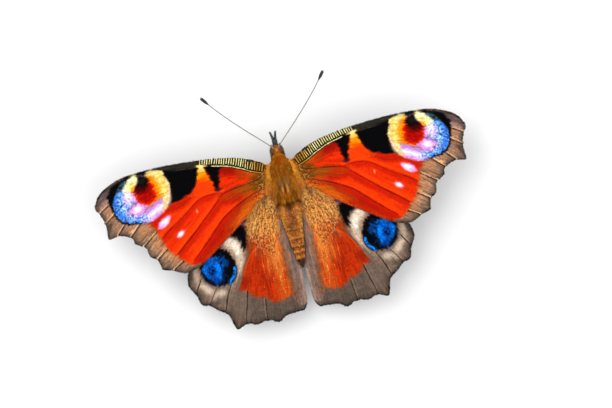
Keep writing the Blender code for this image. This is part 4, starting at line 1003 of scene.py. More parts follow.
def paint_hindwing_eyespot(paint):
    """The blue eyespot of the hindwing."""
    x, y = paint.x, paint.y
    dx, dy = (x - 13.68) / 2.85, (y + 13.15) / 3.1
    disc = ramp(1.0 - np.hypot(dx, dy) + 0.06 * paint.ragged, -0.10, 0.06)
    paint.lay("black", disc)
    fibres = paint.wing.streaks(x, y, 0.16, 0.8, 14)
    ring = paint.inside(((12.8, -13.3), (13.1, -12.0), (13.7, -11.3), (14.4, -11.05), (15.2, -11.5),
        (15.9, -12.3), (16.2, -13.2), (15.95, -14.2), (15.2, -14.9), (14.4, -15.7), (13.65, -15.6),
        (13.2, -14.8), (12.9, -13.9)), 0.28, 0.3)
    lobe = paint.inside(((11.9, -13.0), (12.0, -12.2), (12.6, -11.6), (13.4, -11.3), (13.2, -12.0),
        (12.8, -12.8), (12.5, -13.4)), 0.22, 0.3)
    paint.lay("azure", ring)
    paint.lay("azure", 0.5 * lobe)
    paint.glow("ultramarine", (14.0, -15.15), (0.6, 0.35), 0.0, 1.0)
    paint.lay("ultramarine", 0.75 * ring * ramp(-y, 14.4, 15.2))
    each(paint.glow,
         ("bright azure", (13.45, -13.2), (0.26, 0.8), 0.0, 0.9),
         ("bright azure", (15.0, -11.9), (0.7, 0.22), -35.0, 0.8),
         ("bright azure", (15.85, -13.2), (0.25, 0.7), 0.0, 0.8),
         ("bright azure", (13.6, -14.9), (0.25, 0.4), 10.0, 0.8))
    core = ramp(1.0 - np.hypot((x - 14.75) / 0.85, (y + 13.55) / 1.25), 0.0, 0.5)
    specks = ramp(noise(x, y, 0.24, 21), 0.36, 0.60)
    paint.lay("ultramarine", 0.75 * core)
    paint.glow("azure", (14.6, -13.3), (0.3, 0.35), 0.0, 0.6)
    paint.lay("black", 0.9 * core * specks)
    paint.stroke("black", ((13.75, -11.75), (13.3, -12.4), (13.05, -13.2), (13.05, -13.9)),
        0.07, 0.12, 0.85)
    paint.lay("ultramarine", (ring + lobe) * 0.8 * ramp(fibres, 0.25, 0.7))
    fine = ramp(noise(x, y, 0.2, 22), 0.55, 0.8)
    paint.lay("ultramarine", 0.45 * disc * fine * ramp(x, 11.9, 12.4))
    broken = ramp(noise(x, y, 0.22, 23), 0.30, 0.62)
    crescent = ((10.95, -13.9), (11.1, -14.6), (11.5, -15.3), (12.3, -16.05))
    distance = np.abs(line_offset(x, y, curve(crescent, 0.5)))
    paint.lay("black", 0.8 * ramp(0.42 - distance, -0.10, 0.10))
    paint.lay("azure", ramp(0.26 - distance, -0.10, 0.10))
    paint.lay("bright azure", broken * ramp(0.24 - distance, -0.08, 0.08))
    paint.lay("black", 0.7 * ramp(noise(x, y, 0.18, 35), 0.58, 0.72) * ramp(0.3 - distance, -0.08, 0.08))


def paint_hindwing_edge(paint):
    """Painted shade in the border's creases, with painted light in bone beside them, and its dark blue-black
    edge.
    """
    x, y = paint.x, paint.y
    # Painted light beside each crease, then painted shade in it.
    for fold in HINDWING_FOLDS:
        line = (*fold[:-1], past_end(fold))
        paint.beside("bone", line, 0.10, 0.24, 0.07, 0.28)
        paint.stroke("crease", line, 0.09, 0.07, 0.95)
    depth = depth_inside(x, y, paint.wing.edge) + 0.10 * paint.ragged
    outer = ramp(-y, 11.0, 13.5) * np.maximum(ramp(x, 0.9, 2.0), ramp(-y, 21.8, 22.8))
    paint.lay("dark ash", 0.7 * outer * ramp(-depth, -0.9, -0.35))
    paint.lay("wing edge", outer * ramp(-depth, -0.36, -0.18))


def paint_underside(wing, x, y):
    """The dark underside: fine wavy lines across the wing on blackish brown."""
    paint = Canvas(wing, x, y, "under")
    depth = depth_inside(x, y, wing.edge)
    ripple = noise(x, y, 0.8, 31) + 0.5 * noise(x, y, 0.3, 32)
    lines = np.sin((np.hypot(x - 1.0, y + 2.0) + 0.9 * ripple) * TURN / 0.85)
    paint.lay("under dark", 0.85 * ramp(lines, -0.1, 0.6))
    middle = ramp(np.hypot(x - 1.0, y + 2.0) + ripple, 15.5, 16.5)
    paint.lay("under dark", 0.5 * (1.0 - middle))
    paint.lay("under pale", 0.35 * middle * ramp(noise(x, y, 0.35, 33), 0.5, 0.8))
    paint.lay("under pale", 0.5 * ramp(-depth, -1.8, -1.2) * ramp(depth, 0.5, 1.0))
    if wing.name == "hindwing":
        paint.glow("ivory", (8.6, -10.6), (0.16, 0.16), 0.0, 0.9)
    else:
        bars = np.sin((x + 0.42 * y) * TURN / 0.6)
        leading = ramp(0.9 - depth, 0.0, 0.4) * ramp(y, 1.0, 2.0) * ramp(-x, -26.0, -22.0)
        paint.lay("under pale", leading * ramp(bars, 0.0, 0.5))
    paint.lay("wing edge", ramp(-depth, -0.3, -0.15))
    return paint.colour


# ---------------------------------------------------------------- making meshes
SIDES = ((1, "right"), (-1, "left"))
UP = np.array((0.0, 0.0, 1.0))
PATCH_SPAN = 0.003     # share of the unwrap's width that one scale or hair takes

# Small closed shapes that coats are built of: points along, across and up, and their faces.
# A scale has five outline points and a raised middle, and is closed below.
SCALE = (np.array(((0.0, 0.0, 0.0), (0.35, 0.5, 0.30), (1.0, 0.34, 1.0), (1.0, -0.34, 1.0),
                   (0.35, -0.5, 0.30), (0.62, 0.0, 1.05))),
         np.array(((0, 5, 1), (1, 5, 2), (2, 5, 3), (3, 5, 4), (4, 5, 0), (0, 1, 2), (0, 2, 3), (0, 3, 4))))
# The undersides have a plainer scale, a kite with a raised middle.
KITE = (np.array(((0.0, 0.0, 0.0), (0.65, 0.5, 0.60), (1.0, 0.0, 1.0), (0.65, -0.5, 0.60), (0.5, 0.0, 0.85))),
        np.array(((0, 4, 1), (1, 4, 2), (2, 4, 3), (3, 4, 0), (0, 1, 2), (0, 2, 3))))
# A hair is a spindle with a ridge, whose tip bends back down.
HAIR = (np.array(((0.0, 0.0, 0.0), (0.36, -0.56, 0.50), (0.36, 0.56, 0.50), (0.36, 0.0, 0.88),
                  (1.0, 0.0, 0.75))),
        np.array(((0, 2, 1), (0, 3, 2), (0, 1, 3), (4, 1, 2), (4, 2, 3), (4, 3, 1))))


def place(points, side=1):
    """Plan points in millimetres as the frame's metres; side -1 is the left."""
    placed = np.array(points, float)
    placed[..., 0] *= side
    placed[..., 1] += PLAN_SHIFT
    return placed * MM


def make_piece(name, points, groups, finish, colours, uvs=None, side=1, smooth=True):
    """One mesh of plan points; groups are arrays of faces, each of one corner count."""
    if side < 0:
        groups = [group[:, ::-1] for group in groups]
    corners = np.concatenate([group.ravel() for group in groups]).astype(np.int32)
    sizes = np.concatenate([np.full(len(group), group.shape[1]) for group in groups])
    mesh = bpy.data.meshes.new(name)
    mesh.vertices.add(len(points))
    mesh.vertices.foreach_set("co", place(points, side).astype(np.float32).ravel())
    mesh.loops.add(len(corners))
    mesh.loops.foreach_set("vertex_index", corners)
    mesh.polygons.add(len(sizes))
    mesh.polygons.foreach_set("loop_start", (np.cumsum(sizes) - sizes).astype(np.int32))
    mesh.update(calc_edges=True)
    mesh.polygons.foreach_set("use_smooth", np.full(len(sizes), smooth))
    rgba = np.ones((len(points), 4), np.float32)
    rgba[:, :3] = linear(colours)
    mesh.attributes.new("markings", "FLOAT_COLOR", "POINT").data.foreach_set("color", rgba.ravel())
    if uvs is not None:
        layer = mesh.uv_layers.new(name="OFBake")
        layer.data.foreach_set("uv", uvs[corners].astype(np.float32).ravel())
    mesh.materials.append(finish)
    piece = bpy.data.objects.new(name, mesh)
    bpy.context.scene.collection.objects.link(piece)
    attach(piece, BODY)
    return piece


def both_sides(name, points, groups, finish, colours, uvs=None, replaced=(), smooth=True):
    """The right piece and its mirror image. {} stands for the side in the names of pieces and nodes."""
    for side, label in SIDES:
        piece = make_piece(name.format(label), points, groups, finish, colours, uvs, side, smooth)
        if replaced:
            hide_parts(*[node.format(label) for node in replaced])


def sow(roots, along, up, sizes, shape):
    """Points and faces of copies of a small shape on many roots; sizes holds each copy's length,
    width and rise."""
    template, faces = shape
    along = unit(along)
    across = unit(np.cross(up, along))
    over = np.cross(along, across)
    reach = template[None, :, :] * sizes[:, None, :]
    points = (roots[:, None, :] + reach[..., 0:1] * along[:, None, :]
              + reach[..., 1:2] * across[:, None, :] + reach[..., 2:3] * over[:, None, :])
    starts = (np.arange(len(roots)) * len(template))[:, None, None]
    return points.reshape(-1, 3), (faces[None, :, :] + starts).reshape(-1, 3)


def patch_uvs(root_uvs, shape):
    """A small patch of the unwrap for each copy of a shape, at its root's place."""
    template = shape[0][:, :2]
    small = (template - template.mean(axis=0)) * PATCH_SPAN
    return np.clip(root_uvs[:, None, :] + small[None, :, :], 0.0, 1.0).reshape(-1, 2)


def coat_sides(name, coat, shape, finish, colours, unwrap, smooth=True):
    """A sown coat on both sides, with one colour and one place on the unwrap for each copy."""
    points, faces = coat
    both_sides(name, points, (faces,), finish, np.repeat(colours, len(shape[0]), axis=0),
               patch_uvs(unwrap, shape), smooth=smooth)


# ---------------------------------------------------------------- materials
def set_inputs(node, **values):
    """Set a node's inputs; an underscore stands for a space in an input's name."""
    for name, value in values.items():
        node.inputs[name.replace("_", " ")].default_value = value


def painted(name, roughness, grain, contrast, bump, specular=0.5):
    """A finish that takes its colour from the mesh's markings, broken by a fine grain."""
    material = bpy.data.materials.new(name)
    material.use_nodes = True
    nodes, links = material.node_tree.nodes, material.node_tree.links
    shader = nodes["Principled BSDF"]
    set_inputs(shader, Roughness=roughness, Specular_IOR_Level=specular)
    marks = nodes.new("ShaderNodeAttribute")
    marks.attribute_name = "markings"
    place_node = nodes.new("ShaderNodeTexCoord")
    speckle = nodes.new("ShaderNodeTexNoise")
    set_inputs(speckle, Scale=1.0 / (grain * MM), Detail=3.0)
    links.new(place_node.outputs["Object"], speckle.inputs["Vector"])
    level = nodes.new("ShaderNodeMapRange")
    set_inputs(level, From_Min=0.25, From_Max=0.75, To_Min=1.0 - contrast, To_Max=1.0 + contrast)
    links.new(speckle.outputs["Fac"], level.inputs["Value"])
    tone = nodes.new("ShaderNodeHueSaturation")
    links.new(level.outputs["Result"], tone.inputs["Value"])
    links.new(marks.outputs["Color"], tone.inputs["Color"])
    links.new(tone.outputs["Color"], shader.inputs["Base Color"])
    relief = nodes.new("ShaderNodeBump")
    set_inputs(relief, Strength=bump, Distance=RELIEF_DEPTH * MM)
    links.new(speckle.outputs["Fac"], relief.inputs["Height"])
    links.new(relief.outputs["Normal"], shader.inputs["Normal"])
    return material


def eye_finish():
    """Dark facets with a soft gloss."""
    material = painted("eye_facets", 0.38, 0.5, 0.2, 0.0, specular=0.25)
    nodes, links = material.node_tree.nodes, material.node_tree.links
    cells = nodes.new("ShaderNodeTexVoronoi")
    set_inputs(cells, Scale=1.0 / (FACET * MM))
    place_node = next(node for node in nodes if node.type == "TEX_COORD")
    relief = next(node for node in nodes if node.type == "BUMP")
    set_inputs(relief, Strength=0.35)
    relief.invert = True
    links.new(place_node.outputs["Object"], cells.inputs["Vector"])
    links.new(cells.outputs["Distance"], relief.inputs["Height"])
    return material


# ---------------------------------------------------------------- wings
def beside_body(x, y):
    """Whether points of a wing's edge lie against the body, where the wing has no fringe."""
    return (x < 2.4) & (y > -16.6)


def lattice(low, high, spacing):
    """Points of a lattice of triangles over a box."""
    rows = np.arange(low[1], high[1], spacing * ROW_STEP)
    x, y = np.meshgrid(np.arange(low[0], high[0], spacing), rows)
    x = x + spacing / 2 * (np.arange(len(rows)) % 2)[:, None]
    return x.ravel(), y.ravel()


def wing_net(wing, spacing):
    """Plan points and triangles of a wing's skin."""
    border = inset(wing.edge, np.where(beside_body(*wing.edge.T), 0.0, MARGIN_INSET))
    x, y = lattice(border.min(axis=0), border.max(axis=0), spacing)
    inner = depth_inside(x, y, border) > spacing * 0.45
    points = np.vstack((border, np.stack((x[inner], y[inner]), axis=1)))
    count = len(border)
    edges = [(i, (i + 1) % count) for i in range(count)]
    found = delaunay_2d_cdt([tuple(p) for p in points], edges, [list(range(count))], 1, 1e-6)
    plan = np.array([tuple(p) for p in found[0]])
    faces = np.array([tuple(face) for face in found[2]])
    a, b, c = (plan[faces[:, i]] for i in range(3))
    turn = (b[:, 0] - a[:, 0]) * (c[:, 1] - a[:, 1]) - (b[:, 1] - a[:, 1]) * (c[:, 0] - a[:, 0])
    faces[turn < 0] = faces[turn < 0][:, ::-1]
    return plan, faces


def rim_faces(faces, count):
    """Quads that join the two copies of a net along its open edges."""
    ends = np.concatenate([faces[:, [0, 1]], faces[:, [1, 2]], faces[:, [2, 0]]])
    seen = {(int(a), int(b)) for a, b in ends}
    return np.array([(b, a, a + count, b + count) for a, b in sorted(seen) if (b, a) not in seen])


def make_membranes(wing, paint_top, finish):
    """The wing's own thin skin, on both sides."""
    plan, faces = wing_net(wing, NET_SPACING)
    x, y = plan.T
    points = np.vstack([triples(x, y, wing.surface(x, y, face)) for face in (1, -1)])
    colours = np.vstack((paint_top(wing, x, y), paint_underside(wing, x, y)))
    triangles = np.vstack((faces, faces[:, ::-1] + len(plan)))
    both_sides(f"{wing.name}_{{}}_membrane", points, (triangles, rim_faces(faces, len(plan))), finish,
               colours, replaced=(wing.name + "_{}",))


def wing_unwrap(wing, x, y):
    """Place of plan points on the flat unwrap of a wing, from 0 to 1."""
    low = wing.edge.min(axis=0)
    span = float((wing.edge.max(axis=0) - low).max())
    return (np.stack((x, y), axis=1) - low) / span


def turned_lie(wing, x, y, turn):
    """The lie of a wing's scales, turned at each point by its own angle."""
    lie_x, lie_y = wing.lie(x, y)
    return triples(lie_x * np.cos(turn) - lie_y * np.sin(turn), lie_x * np.sin(turn) + lie_y * np.cos(turn))


def make_scales(wing, paint, face, spacing, sizes, finish):
    """Overlapping scales over one face of both wings of a pair; face 1 is the upper one.
    They stand on a shaken lattice; sizes are their length, width and lift."""
    x, y = lattice(wing.edge.min(axis=0), wing.edge.max(axis=0), spacing)
    x, y = (part + rng.uniform(-SCALE_JITTER, SCALE_JITTER, len(part)) * spacing for part in (x, y))
    kept = depth_inside(x, y, wing.edge) > MARGIN_INSET + 0.02
    x, y = x[kept], y[kept]
    along = turned_lie(wing, x, y, rng.normal(0.0, 0.12, len(x)))
    shape = SCALE if face > 0 else KITE
    sizes = varied(sizes, ((0.85, 1.15), (0.85, 1.15), (0.6, 1.4)), len(x))
    points, faces = sow(triples(x, y), along, UP, sizes, shape)
    stand = points[:, 2] + SCALE_GAP
    points[:, 2] = wing.surface(points[:, 0], points[:, 1], face) + face * stand
    colours = paint(wing, x, y) * rng.normal(1.0, 0.045, len(x))[:, None]
    word = "upper" if face > 0 else "under"
    coat_sides(f"{wing.name}_{{}}_{word}_scales", (points, faces[:, ::face]), shape, finish,
               colours, wing_unwrap(wing, x, y), smooth=False)


def make_fringe(wing, paint_top, finish):
    """Slender scales that stand out from the wing's edge."""
    closed = np.vstack((wing.edge, wing.edge[:1]))
    run = run_along(closed)
    stations = np.arange(0.0, run[-1], FRINGE_STEP)
    stations = stations + rng.uniform(-0.02, 0.02, len(stations))
    x, y = (np.interp(stations, run, closed[:, i]) for i in (0, 1))
    ahead_x, ahead_y = (np.interp(stations + 0.3, run, closed[:, i]) for i in (0, 1))
    out = unit(np.stack((ahead_y - y, x - ahead_x), axis=1))
    lie = np.stack(wing.lie(x, y), axis=1)
    direction = unit(out + 0.7 * lie + rng.normal(0.0, 0.12, out.shape))
    kept = ~beside_body(x, y)
    x, y, direction = x[kept] - out[kept, 0] * 0.24, y[kept] - out[kept, 1] * 0.24, direction[kept]
    sizes = triples(0.34 * rng.uniform(0.8, 1.25, len(x)), 0.09, 0.02)
    coat = sow(triples(x, y, wing.surface(x, y, 0)), triples(*direction.T), UP, sizes, SCALE)
    colours = paint_top(wing, x, y) * rng.normal(0.9, 0.08, len(x))[:, None]
    coat_sides(f"{wing.name}_{{}}_fringe", coat, SCALE, finish, colours,
               wing_unwrap(wing, x, y), smooth=False)


def bar_vanes(wing):
    """Roots, directions, inks and strengths of the pale and dark bars along the leading edge."""
    foot = curve(BAR_FOOT, 0.1)
    run = run_along(foot)
    lean = unit(np.array((-0.38, 1.0)))
    rows = []
    for number, station in enumerate(np.arange(0.0, run[-1], BAR_STEP)):
        pale = number % 2
        shift = rng.uniform(-0.035, 0.035)
        start = np.array([np.interp(station + shift, run, foot[:, i]) for i in (0, 1)])
        turn = lean + rng.normal(0.0, 0.06, 2)
        weight = rng.uniform(0.85, 1.15)
        last = rng.uniform(0.95, 1.4) if pale else 2.4
        for step in np.arange(rng.uniform(-0.08, 0.05), last, 0.12):
            rows.append((*(start + turn * step), *turn, pale, weight))
    rows = np.array(rows)
    depth = depth_inside(rows[:, 0], rows[:, 1], wing.edge)
    return rows[(depth > 0.15) & (rows[:, 0] > 2.7)]


def make_costal_bars(wing, finish):
    """The crisp bars of the forewing's leading edge, built of upright rows of narrow scales."""
    rows = bar_vanes(wing)
    pale_line = curve(np.array(BAR_FOOT)[:9] - (0.0, 0.30), 0.1)
    along_line = unit(np.gradient(pale_line, axis=0))
    count = len(pale_line)
    line_rows = np.column_stack((pale_line, along_line, np.ones(count), rng.uniform(0.7, 1.1, count)))
    dark_line = np.column_stack((pale_line + (-0.02, 0.17), along_line, np.zeros(count), np.ones(count)))
    x, y, along_x, along_y, pale, weight = np.vstack((rows, line_rows[4:], dark_line[4:])).T
    count, pale = len(x), pale > 0.5
    near_root = ramp(-x, -6.4, -3.4)
    width = np.where(pale, 0.155 * weight * (1.0 - 0.20 * near_root), 0.24) * rng.uniform(0.85, 1.15, count)
    sizes = triples(0.27 * rng.uniform(0.85, 1.15, count), width, np.where(pale, 0.075, 0.05))
    points, faces = sow(triples(x, y), triples(along_x, along_y), UP, sizes, SCALE)
    points[:, 2] = wing.surface(points[:, 0], points[:, 1], 1) + points[:, 2] + 0.03
    colours = np.where(pale[:, None], ink("straw") * (0.35 + 0.65 * weight[:, None]), ink("bar"))
    colours = tint(colours * rng.normal(1.0, 0.12, count)[:, None], "olive gold", 0.75 * near_root * pale)
    coat_sides("forewing_{}_bars", (points, faces), SCALE, finish, colours,
               wing_unwrap(wing, x, y), smooth=False)


def make_shoulder_hair(wing, finish):
    """The bright orange stripe of hair that lies over the root of the forewing."""
    count = SHOULDER_HAIRS
    line = curve(SHOULDER, 0.1)
    ahead = unit(np.gradient(line, axis=0))
    spot = rng.integers(0, len(line), count)
    aside = rng.normal(0.0, 0.25, count) * (0.6 + 0.4 * spot / len(line))
    x = line[spot, 0] - ahead[spot, 1] * aside
    y = line[spot, 1] + ahead[spot, 0] * aside + 0.25
    bulge = 0.24 * np.exp(-(aside / 0.40) ** 2) * ramp(spot / len(line), 0.0, 0.3)
    bulge += 0.58 * ramp(-x, -2.75, -2.0) * ramp(-y, -1.0, 0.6) * ramp(y, -3.6, -2.4)
    lean = ahead[spot] + rng.normal(0.0, 0.22, (count, 2)) + (0.16, 0.0)
    along = np.column_stack((lean, rng.normal(0.0, 0.06, count)))
    sizes = np.array((0.62, 0.055, 0.008)) * rng.uniform(0.5, 1.4, (count, 3))
    coat = sow(triples(x, y, wing.surface(x, y, 1) + bulge), along, UP, sizes, HAIR)
    # The stripe's middle takes the brightest orange: the tufts' own colour, made brighter as painted light
    # where they are lit.
    bright = pick({"thorax side": 0.55, "bright side": 0.45}, count)
    plain = pick({"thorax side": 0.30, "thorax gold": 0.36, "hair rust": 0.20, "hair olive": 0.14}, count)
    core = np.abs(aside + rng.normal(0.0, 0.08, count)) < 0.24
    fade = ramp(-y + 0.3 * rng.normal(0.0, 1.0, count), 1.3, 2.7)
    colours = tint(recolour(plain, core, bright), "strand orange", 0.7 * fade)
    coat_sides("shoulder_hair_{}", coat, HAIR, finish,
               colours * rng.normal(1.0, 0.10, count)[:, None], wing_unwrap(wing, x, y))


def base_hair_colours(wing, x, y):
    """Speckled hair of the wing bases: gold, tan and olive black, more orange towards the body."""
    count = len(x)
    speck = 1.5 * wing.streaks(x, y, 0.13, 0.17, 43) + rng.normal(0.0, 0.20, count)
    inner = ramp(-x + 0.10 * y, -5.2, -4.2) + rng.normal(0.0, 0.2, count)
    tawny = pick({"hair tan": 0.36, "hair rust": 0.14, "hair orange": 0.32, "hair pale": 0.18}, count)
    golden = pick({"hair orange": 0.36, "hair gold": 0.26, "hair tan": 0.20, "hair rust": 0.18}, count)
    colours = recolour(tawny, inner > 0.5, golden)
    behind = -y + rng.normal(0.0, 0.8, count) > 11.0
    colours = recolour(colours, behind, pick({"strand orange": 0.45, "hair tan": 0.40, "fawn": 0.15}, count))
    edge = 0.20 * ramp(y, -8.5, -5.0)
    fading = ramp(-y, 8.5, 11.5)
    colours = recolour(colours, speck < edge - 0.05 - 0.35 * fading, ink("hair olive"))
    colours = recolour(colours, speck < edge - 0.31 - 0.55 * fading, ink("hair dark"))
    ahead = 1.0 - 0.18 * ramp(y, -9.0, -5.5)
    return colours * (ahead * (1.0 + 0.16 * np.clip(speck, -1.0, 1.0)))[:, None]


def strand_hair_colours(wing, x, y):
    """Long strands beside the abdomen: gold along their inner border, then orange, rust and fawn."""
    count = len(x)
    stroke = 1.3 * wing.streaks(x, y, 0.15, 1.2, 46) + rng.normal(0.0, 0.22, count)
    upper = pick({"strand orange": 0.34, "hair orange": 0.16, "hair tan": 0.46, "fawn": 0.04}, count)
    lower = pick({"strand orange": 0.26, "hair rust": 0.12, "hair tan": 0.30, "fawn": 0.32}, count)
    colours = recolour(upper, -y + rng.normal(0.0, 0.8, count) > 13.5, lower)
    colours = recolour(colours, stroke < -0.24, ink("strand shade"))
    colours = recolour(colours, stroke > 0.60, ink("strand gold"))
    middle = 3.0 + 0.23 * np.clip(-y - 7.4, 0.0, 2.2) + 0.05 * np.maximum(0.0, -y - 9.6)
    border = np.exp(-((x - middle) / 0.28) ** 2) * ramp(y, -17.0, -13.0)
    colours = recolour(colours, border + rng.normal(0.0, 0.25, count) > 0.75, ink("strand gold"))
    return colours * (1.0 + 0.16 * np.clip(stroke, -1.0, 1.0))[:, None]


def field_hair_colours(wing, x, y):
    """Hair over the red field: strokes of orange that thin out towards the field's end."""
    stroke = wing.streaks(x, y, 0.13, 1.8, 44) + rng.normal(0.0, 0.15, len(x))
    share = ramp(y, -18.5, -12.0) * ramp(-x, -8.5, -4.0)
    orange = np.clip((stroke - 0.8 + 1.2 * share) * 1.4, 0.0, 0.85)
    colours = tint(paint_hindwing(wing, x, y), "hair orange", orange)
    return colours * (1.0 + 0.26 * np.clip(stroke, -1.0, 1.0)[:, None])


def fore_hair_colours(wing, x, y):
    """Hair at the root of the forewing, dark and olive ahead and tan at the rear."""
    count = len(x)
    speck = 1.3 * wing.streaks(x, y, 0.14, 0.22, 45) + rng.normal(0.0, 0.2, count)
    ahead = pick({"umber": 0.30, "olive": 0.26, "hair orange": 0.20, "brown": 0.24}, count)
    rear = pick({"hair orange": 0.34, "hair tan": 0.26, "hair rust": 0.22, "olive": 0.18}, count)
    behind = -y + rng.normal(0.0, 0.5, count) > 1.9
    colours = recolour(recolour(ahead, behind, rear), speck > 0.62, ink("hair tan"))
    return recolour(colours, speck < np.where(behind, -0.28, -0.18), ink("hair dark"))


def rear_hair_colours(wing, x, y):
    """Hair along the rear edge of the forewing."""
    return pick({"amber": 0.35, "hair orange": 0.30, "rust": 0.20, "hair tan": 0.15}, len(x))


def make_wing_hair(wing, name, zone, spacing, sizes, turns, colouring, finish):
    """Long hair that lies over part of a wing, fading out towards the zone's border.
    sizes are each hair's length, width and rise; turns are how far hairs stray alone and in clumps."""
    outline = curve(zone, 0.6, closed=True)
    low, high = outline.min(axis=0), outline.max(axis=0)
    total = int((high[0] - low[0]) * (high[1] - low[1]) / spacing ** 2)
    x, y = (rng.uniform(low[i], high[i], total) for i in (0, 1))
    depth = depth_inside(x, y, outline)
    kept = (depth > 0) & (rng.uniform(0.0, 1.0, total) < ramp(depth, 0.0, 1.0) + 0.15)
    kept &= depth_inside(x, y, wing.edge) > 0.05
    x, y = x[kept], y[kept]
    turn = rng.normal(0.0, turns[0], len(x)) + 2 * turns[1] * (noise(x, y, 0.5, 42) - 0.5)
    reach = np.array(sizes) * rng.uniform(0.6, 1.35, (len(x), 3))
    points, faces = sow(triples(x, y), turned_lie(wing, x, y, turn), UP, reach, HAIR)
    points[:, 2] += wing.surface(points[:, 0], points[:, 1], 1)
    colours = colouring(wing, x, y) * rng.normal(1.0, 0.08, len(x))[:, None]
    coat_sides(f"{wing.name}_{{}}_{name}", (points, faces), HAIR, finish, colours,
               wing_unwrap(wing, x, y))


def make_hair_of_wings(forewing, hindwing):
    """Hair of the wing bases, of the hindwing's red field and along the forewing's rear edge."""
    hair = painted("wing_hair", 0.6, 0.10, 0.12, 0.1, specular=0.08)
    make_wing_hair(hindwing, "field_hair", FIELD_ZONE, 0.100, (0.9, 0.048, 0.06), (0.03, 0.03),
                   field_hair_colours, hair)
    make_wing_hair(hindwing, "strand_hair", STRAND_ZONE, 0.072, (1.00, 0.060, 0.040), (0.04, 0.05),
                   strand_hair_colours, hair)
    make_wing_hair(hindwing, "base_hair", HIND_BASE_ZONE, 0.064, (0.39, 0.060, 0.065), (0.18, 0.12),
                   base_hair_colours, hair)
    make_wing_hair(forewing, "base_hair", FORE_BASE_ZONE, 0.066, (0.40, 0.055, 0.06), (0.12, 0.15),
                   fore_hair_colours, hair)
    make_wing_hair(forewing, "rear_hair", REAR_ZONE, 0.11, (0.7, 0.05, 0.06), (0.10, 0.15),
                   rear_hair_colours, hair)


def make_wings():
    """Skins, scales, fringes and hair of all four wings."""
    skin = painted("wing_skin", 0.7, 0.12, 0.10, 0.25, specular=0.05)
    scales = painted("wing_scales", 0.6, 0.05, 0.06, 0.15, specular=0.03)
    edge = wing_edge(FOREWING_ROOT, (FOREWING_COSTA, FOREWING_MARGIN, FOREWING_REAR))
    forewing = Wing("forewing", edge, FOREWING_VEINS, FOREWING_FOLDS, forewing_height)
    edge = wing_edge(HINDWING_ROOT, (HINDWING_COSTA, HINDWING_MARGIN, HINDWING_INNER))
    hindwing = Wing("hindwing", edge, HINDWING_VEINS, HINDWING_FOLDS, hindwing_height)
    for wing, paint_top in ((forewing, paint_forewing), (hindwing, paint_hindwing)):
        make_membranes(wing, paint_top, skin)
        make_scales(wing, paint_top, 1, *UPPER_SCALES, scales)
        make_scales(wing, paint_underside, -1, *UNDER_SCALES, scales)
        make_fringe(wing, paint_top, scales)
    make_costal_bars(forewing, scales)
    make_shoulder_hair(forewing, painted("shoulder_hair", 0.6, 0.10, 0.10, 0.1, specular=0.08))
    make_hair_of_wings(forewing, hindwing)


# ---------------------------------------------------------------- body
def body_form(y):
    """Half width, centre height and half height of the skin at y."""
    stations = np.array(sorted(HEAD + THORAX + ABDOMEN))
    depth = np.array(sorted(COAT_DEPTH))
    inner = np.interp(y, depth[:, 0], depth[:, 1])
    half_width, centre, half_height = (np.interp(y, stations[:, 0], stations[:, i]) for i in (1, 2, 3))
    half_width, half_height = half_width - inner, half_height - inner
    at_head = ramp(y, 2.55, 2.95)
    half_width = half_width + (np.minimum(half_width, HEAD_SKIN) - half_width) * at_head
    share = (RING_FRONT - y) / (RING_FRONT - RING_REAR) * SEGMENTS
    groove = np.exp(-((share - np.round(share)) / 0.10) ** 2) * ramp(-y, 6.6, 7.0)
    rounding = np.sqrt(np.clip(1.0 - (np.maximum(0.0, y - FACE_START) / FACE_REACH) ** 2, 0.01, 1.0))
    slim = (1.0 - 0.07 * groove) * rounding
    return half_width * slim, centre, half_height * slim


def body_point(y, angle):
    """Position, outward normal and backward lie on the skin; angle 90 degrees is the top."""
    half_width, centre, half_height = body_form(y)
    after_width, after_centre, after_height = body_form(y - 0.15)
    cosine, sine = np.cos(angle), np.sin(angle)
    point = np.stack((half_width * cosine, y, centre + half_height * sine), axis=-1)
    behind = np.stack((after_width * cosine, y - 0.15, after_centre + after_height * sine), axis=-1)
    lie = unit(behind - point)
    normal = np.stack((cosine / half_width, np.zeros_like(y), sine / half_height), axis=-1)
    normal = unit(normal - lie * np.sum(unit(normal) * lie, axis=-1, keepdims=True)
                  * np.linalg.norm(normal, axis=-1, keepdims=True))
    return point, normal, lie


def body_unwrap(y, angle):
    """Place on the unwrap of the body, from 0 to 1."""
    return np.stack((angle / TURN % 1.0, (y - ABDOMEN_END) / BODY_LENGTH), axis=1)


# Marks of the fur: ink, strength, middle (to the side and along) and reach.
FRONT_MARKS = (
    ("tuft", 0.8, (0.0, 3.45), (0.22, 0.18)),
    ("collar", 0.6, (0.25, 3.9), (0.30, 0.16)),
    ("thorax dark", 0.8, (0.42, 3.45), (0.16, 0.22)),
    ("thorax dark", 0.35, (0.0, 3.1), (0.9, 0.14)),
    ("olive gold", 0.9, (0.0, 2.65), (0.75, 0.30)),
    ("collar", 0.9, (0.0, 1.75), (1.0, 0.5)),
    ("olive gold", 0.5, (1.0, 1.3), (0.45, 0.9)),
    ("grey tuft", 0.85, (0.0, -1.9), (1.0, 0.8)),
    ("grey tuft", 0.5, (0.75, -2.6), (0.4, 1.1)),
    ("thorax side", 1.3, (2.20, -0.4), (0.44, 1.9)),
    ("thorax gold", 0.9, (1.75, -3.6), (0.55, 1.5)),
    ("thorax dark", 0.50, (1.25, -4.3), (0.38, 1.2)),
    ("thorax dark", 0.6, (0.0, -3.2), (0.14, 0.8)),
    ("tuft", 1.2, (0.42, -3.1), (0.19, 0.70)),
    ("gold patch", 0.4, (0.5, -4.2), (0.35, 0.6)),
    ("gold patch", 1.3, (0.68, -5.15), (0.40, 0.36)),
    ("thorax dark", 1.5, (0.0, -5.85), (0.50, 0.42)),
    ("thorax dark", 0.5, (0.9, -5.65), (0.40, 0.16)),
    ("thorax dark", 1.6, (1.55, -5.35), (0.32, 0.34)),
)
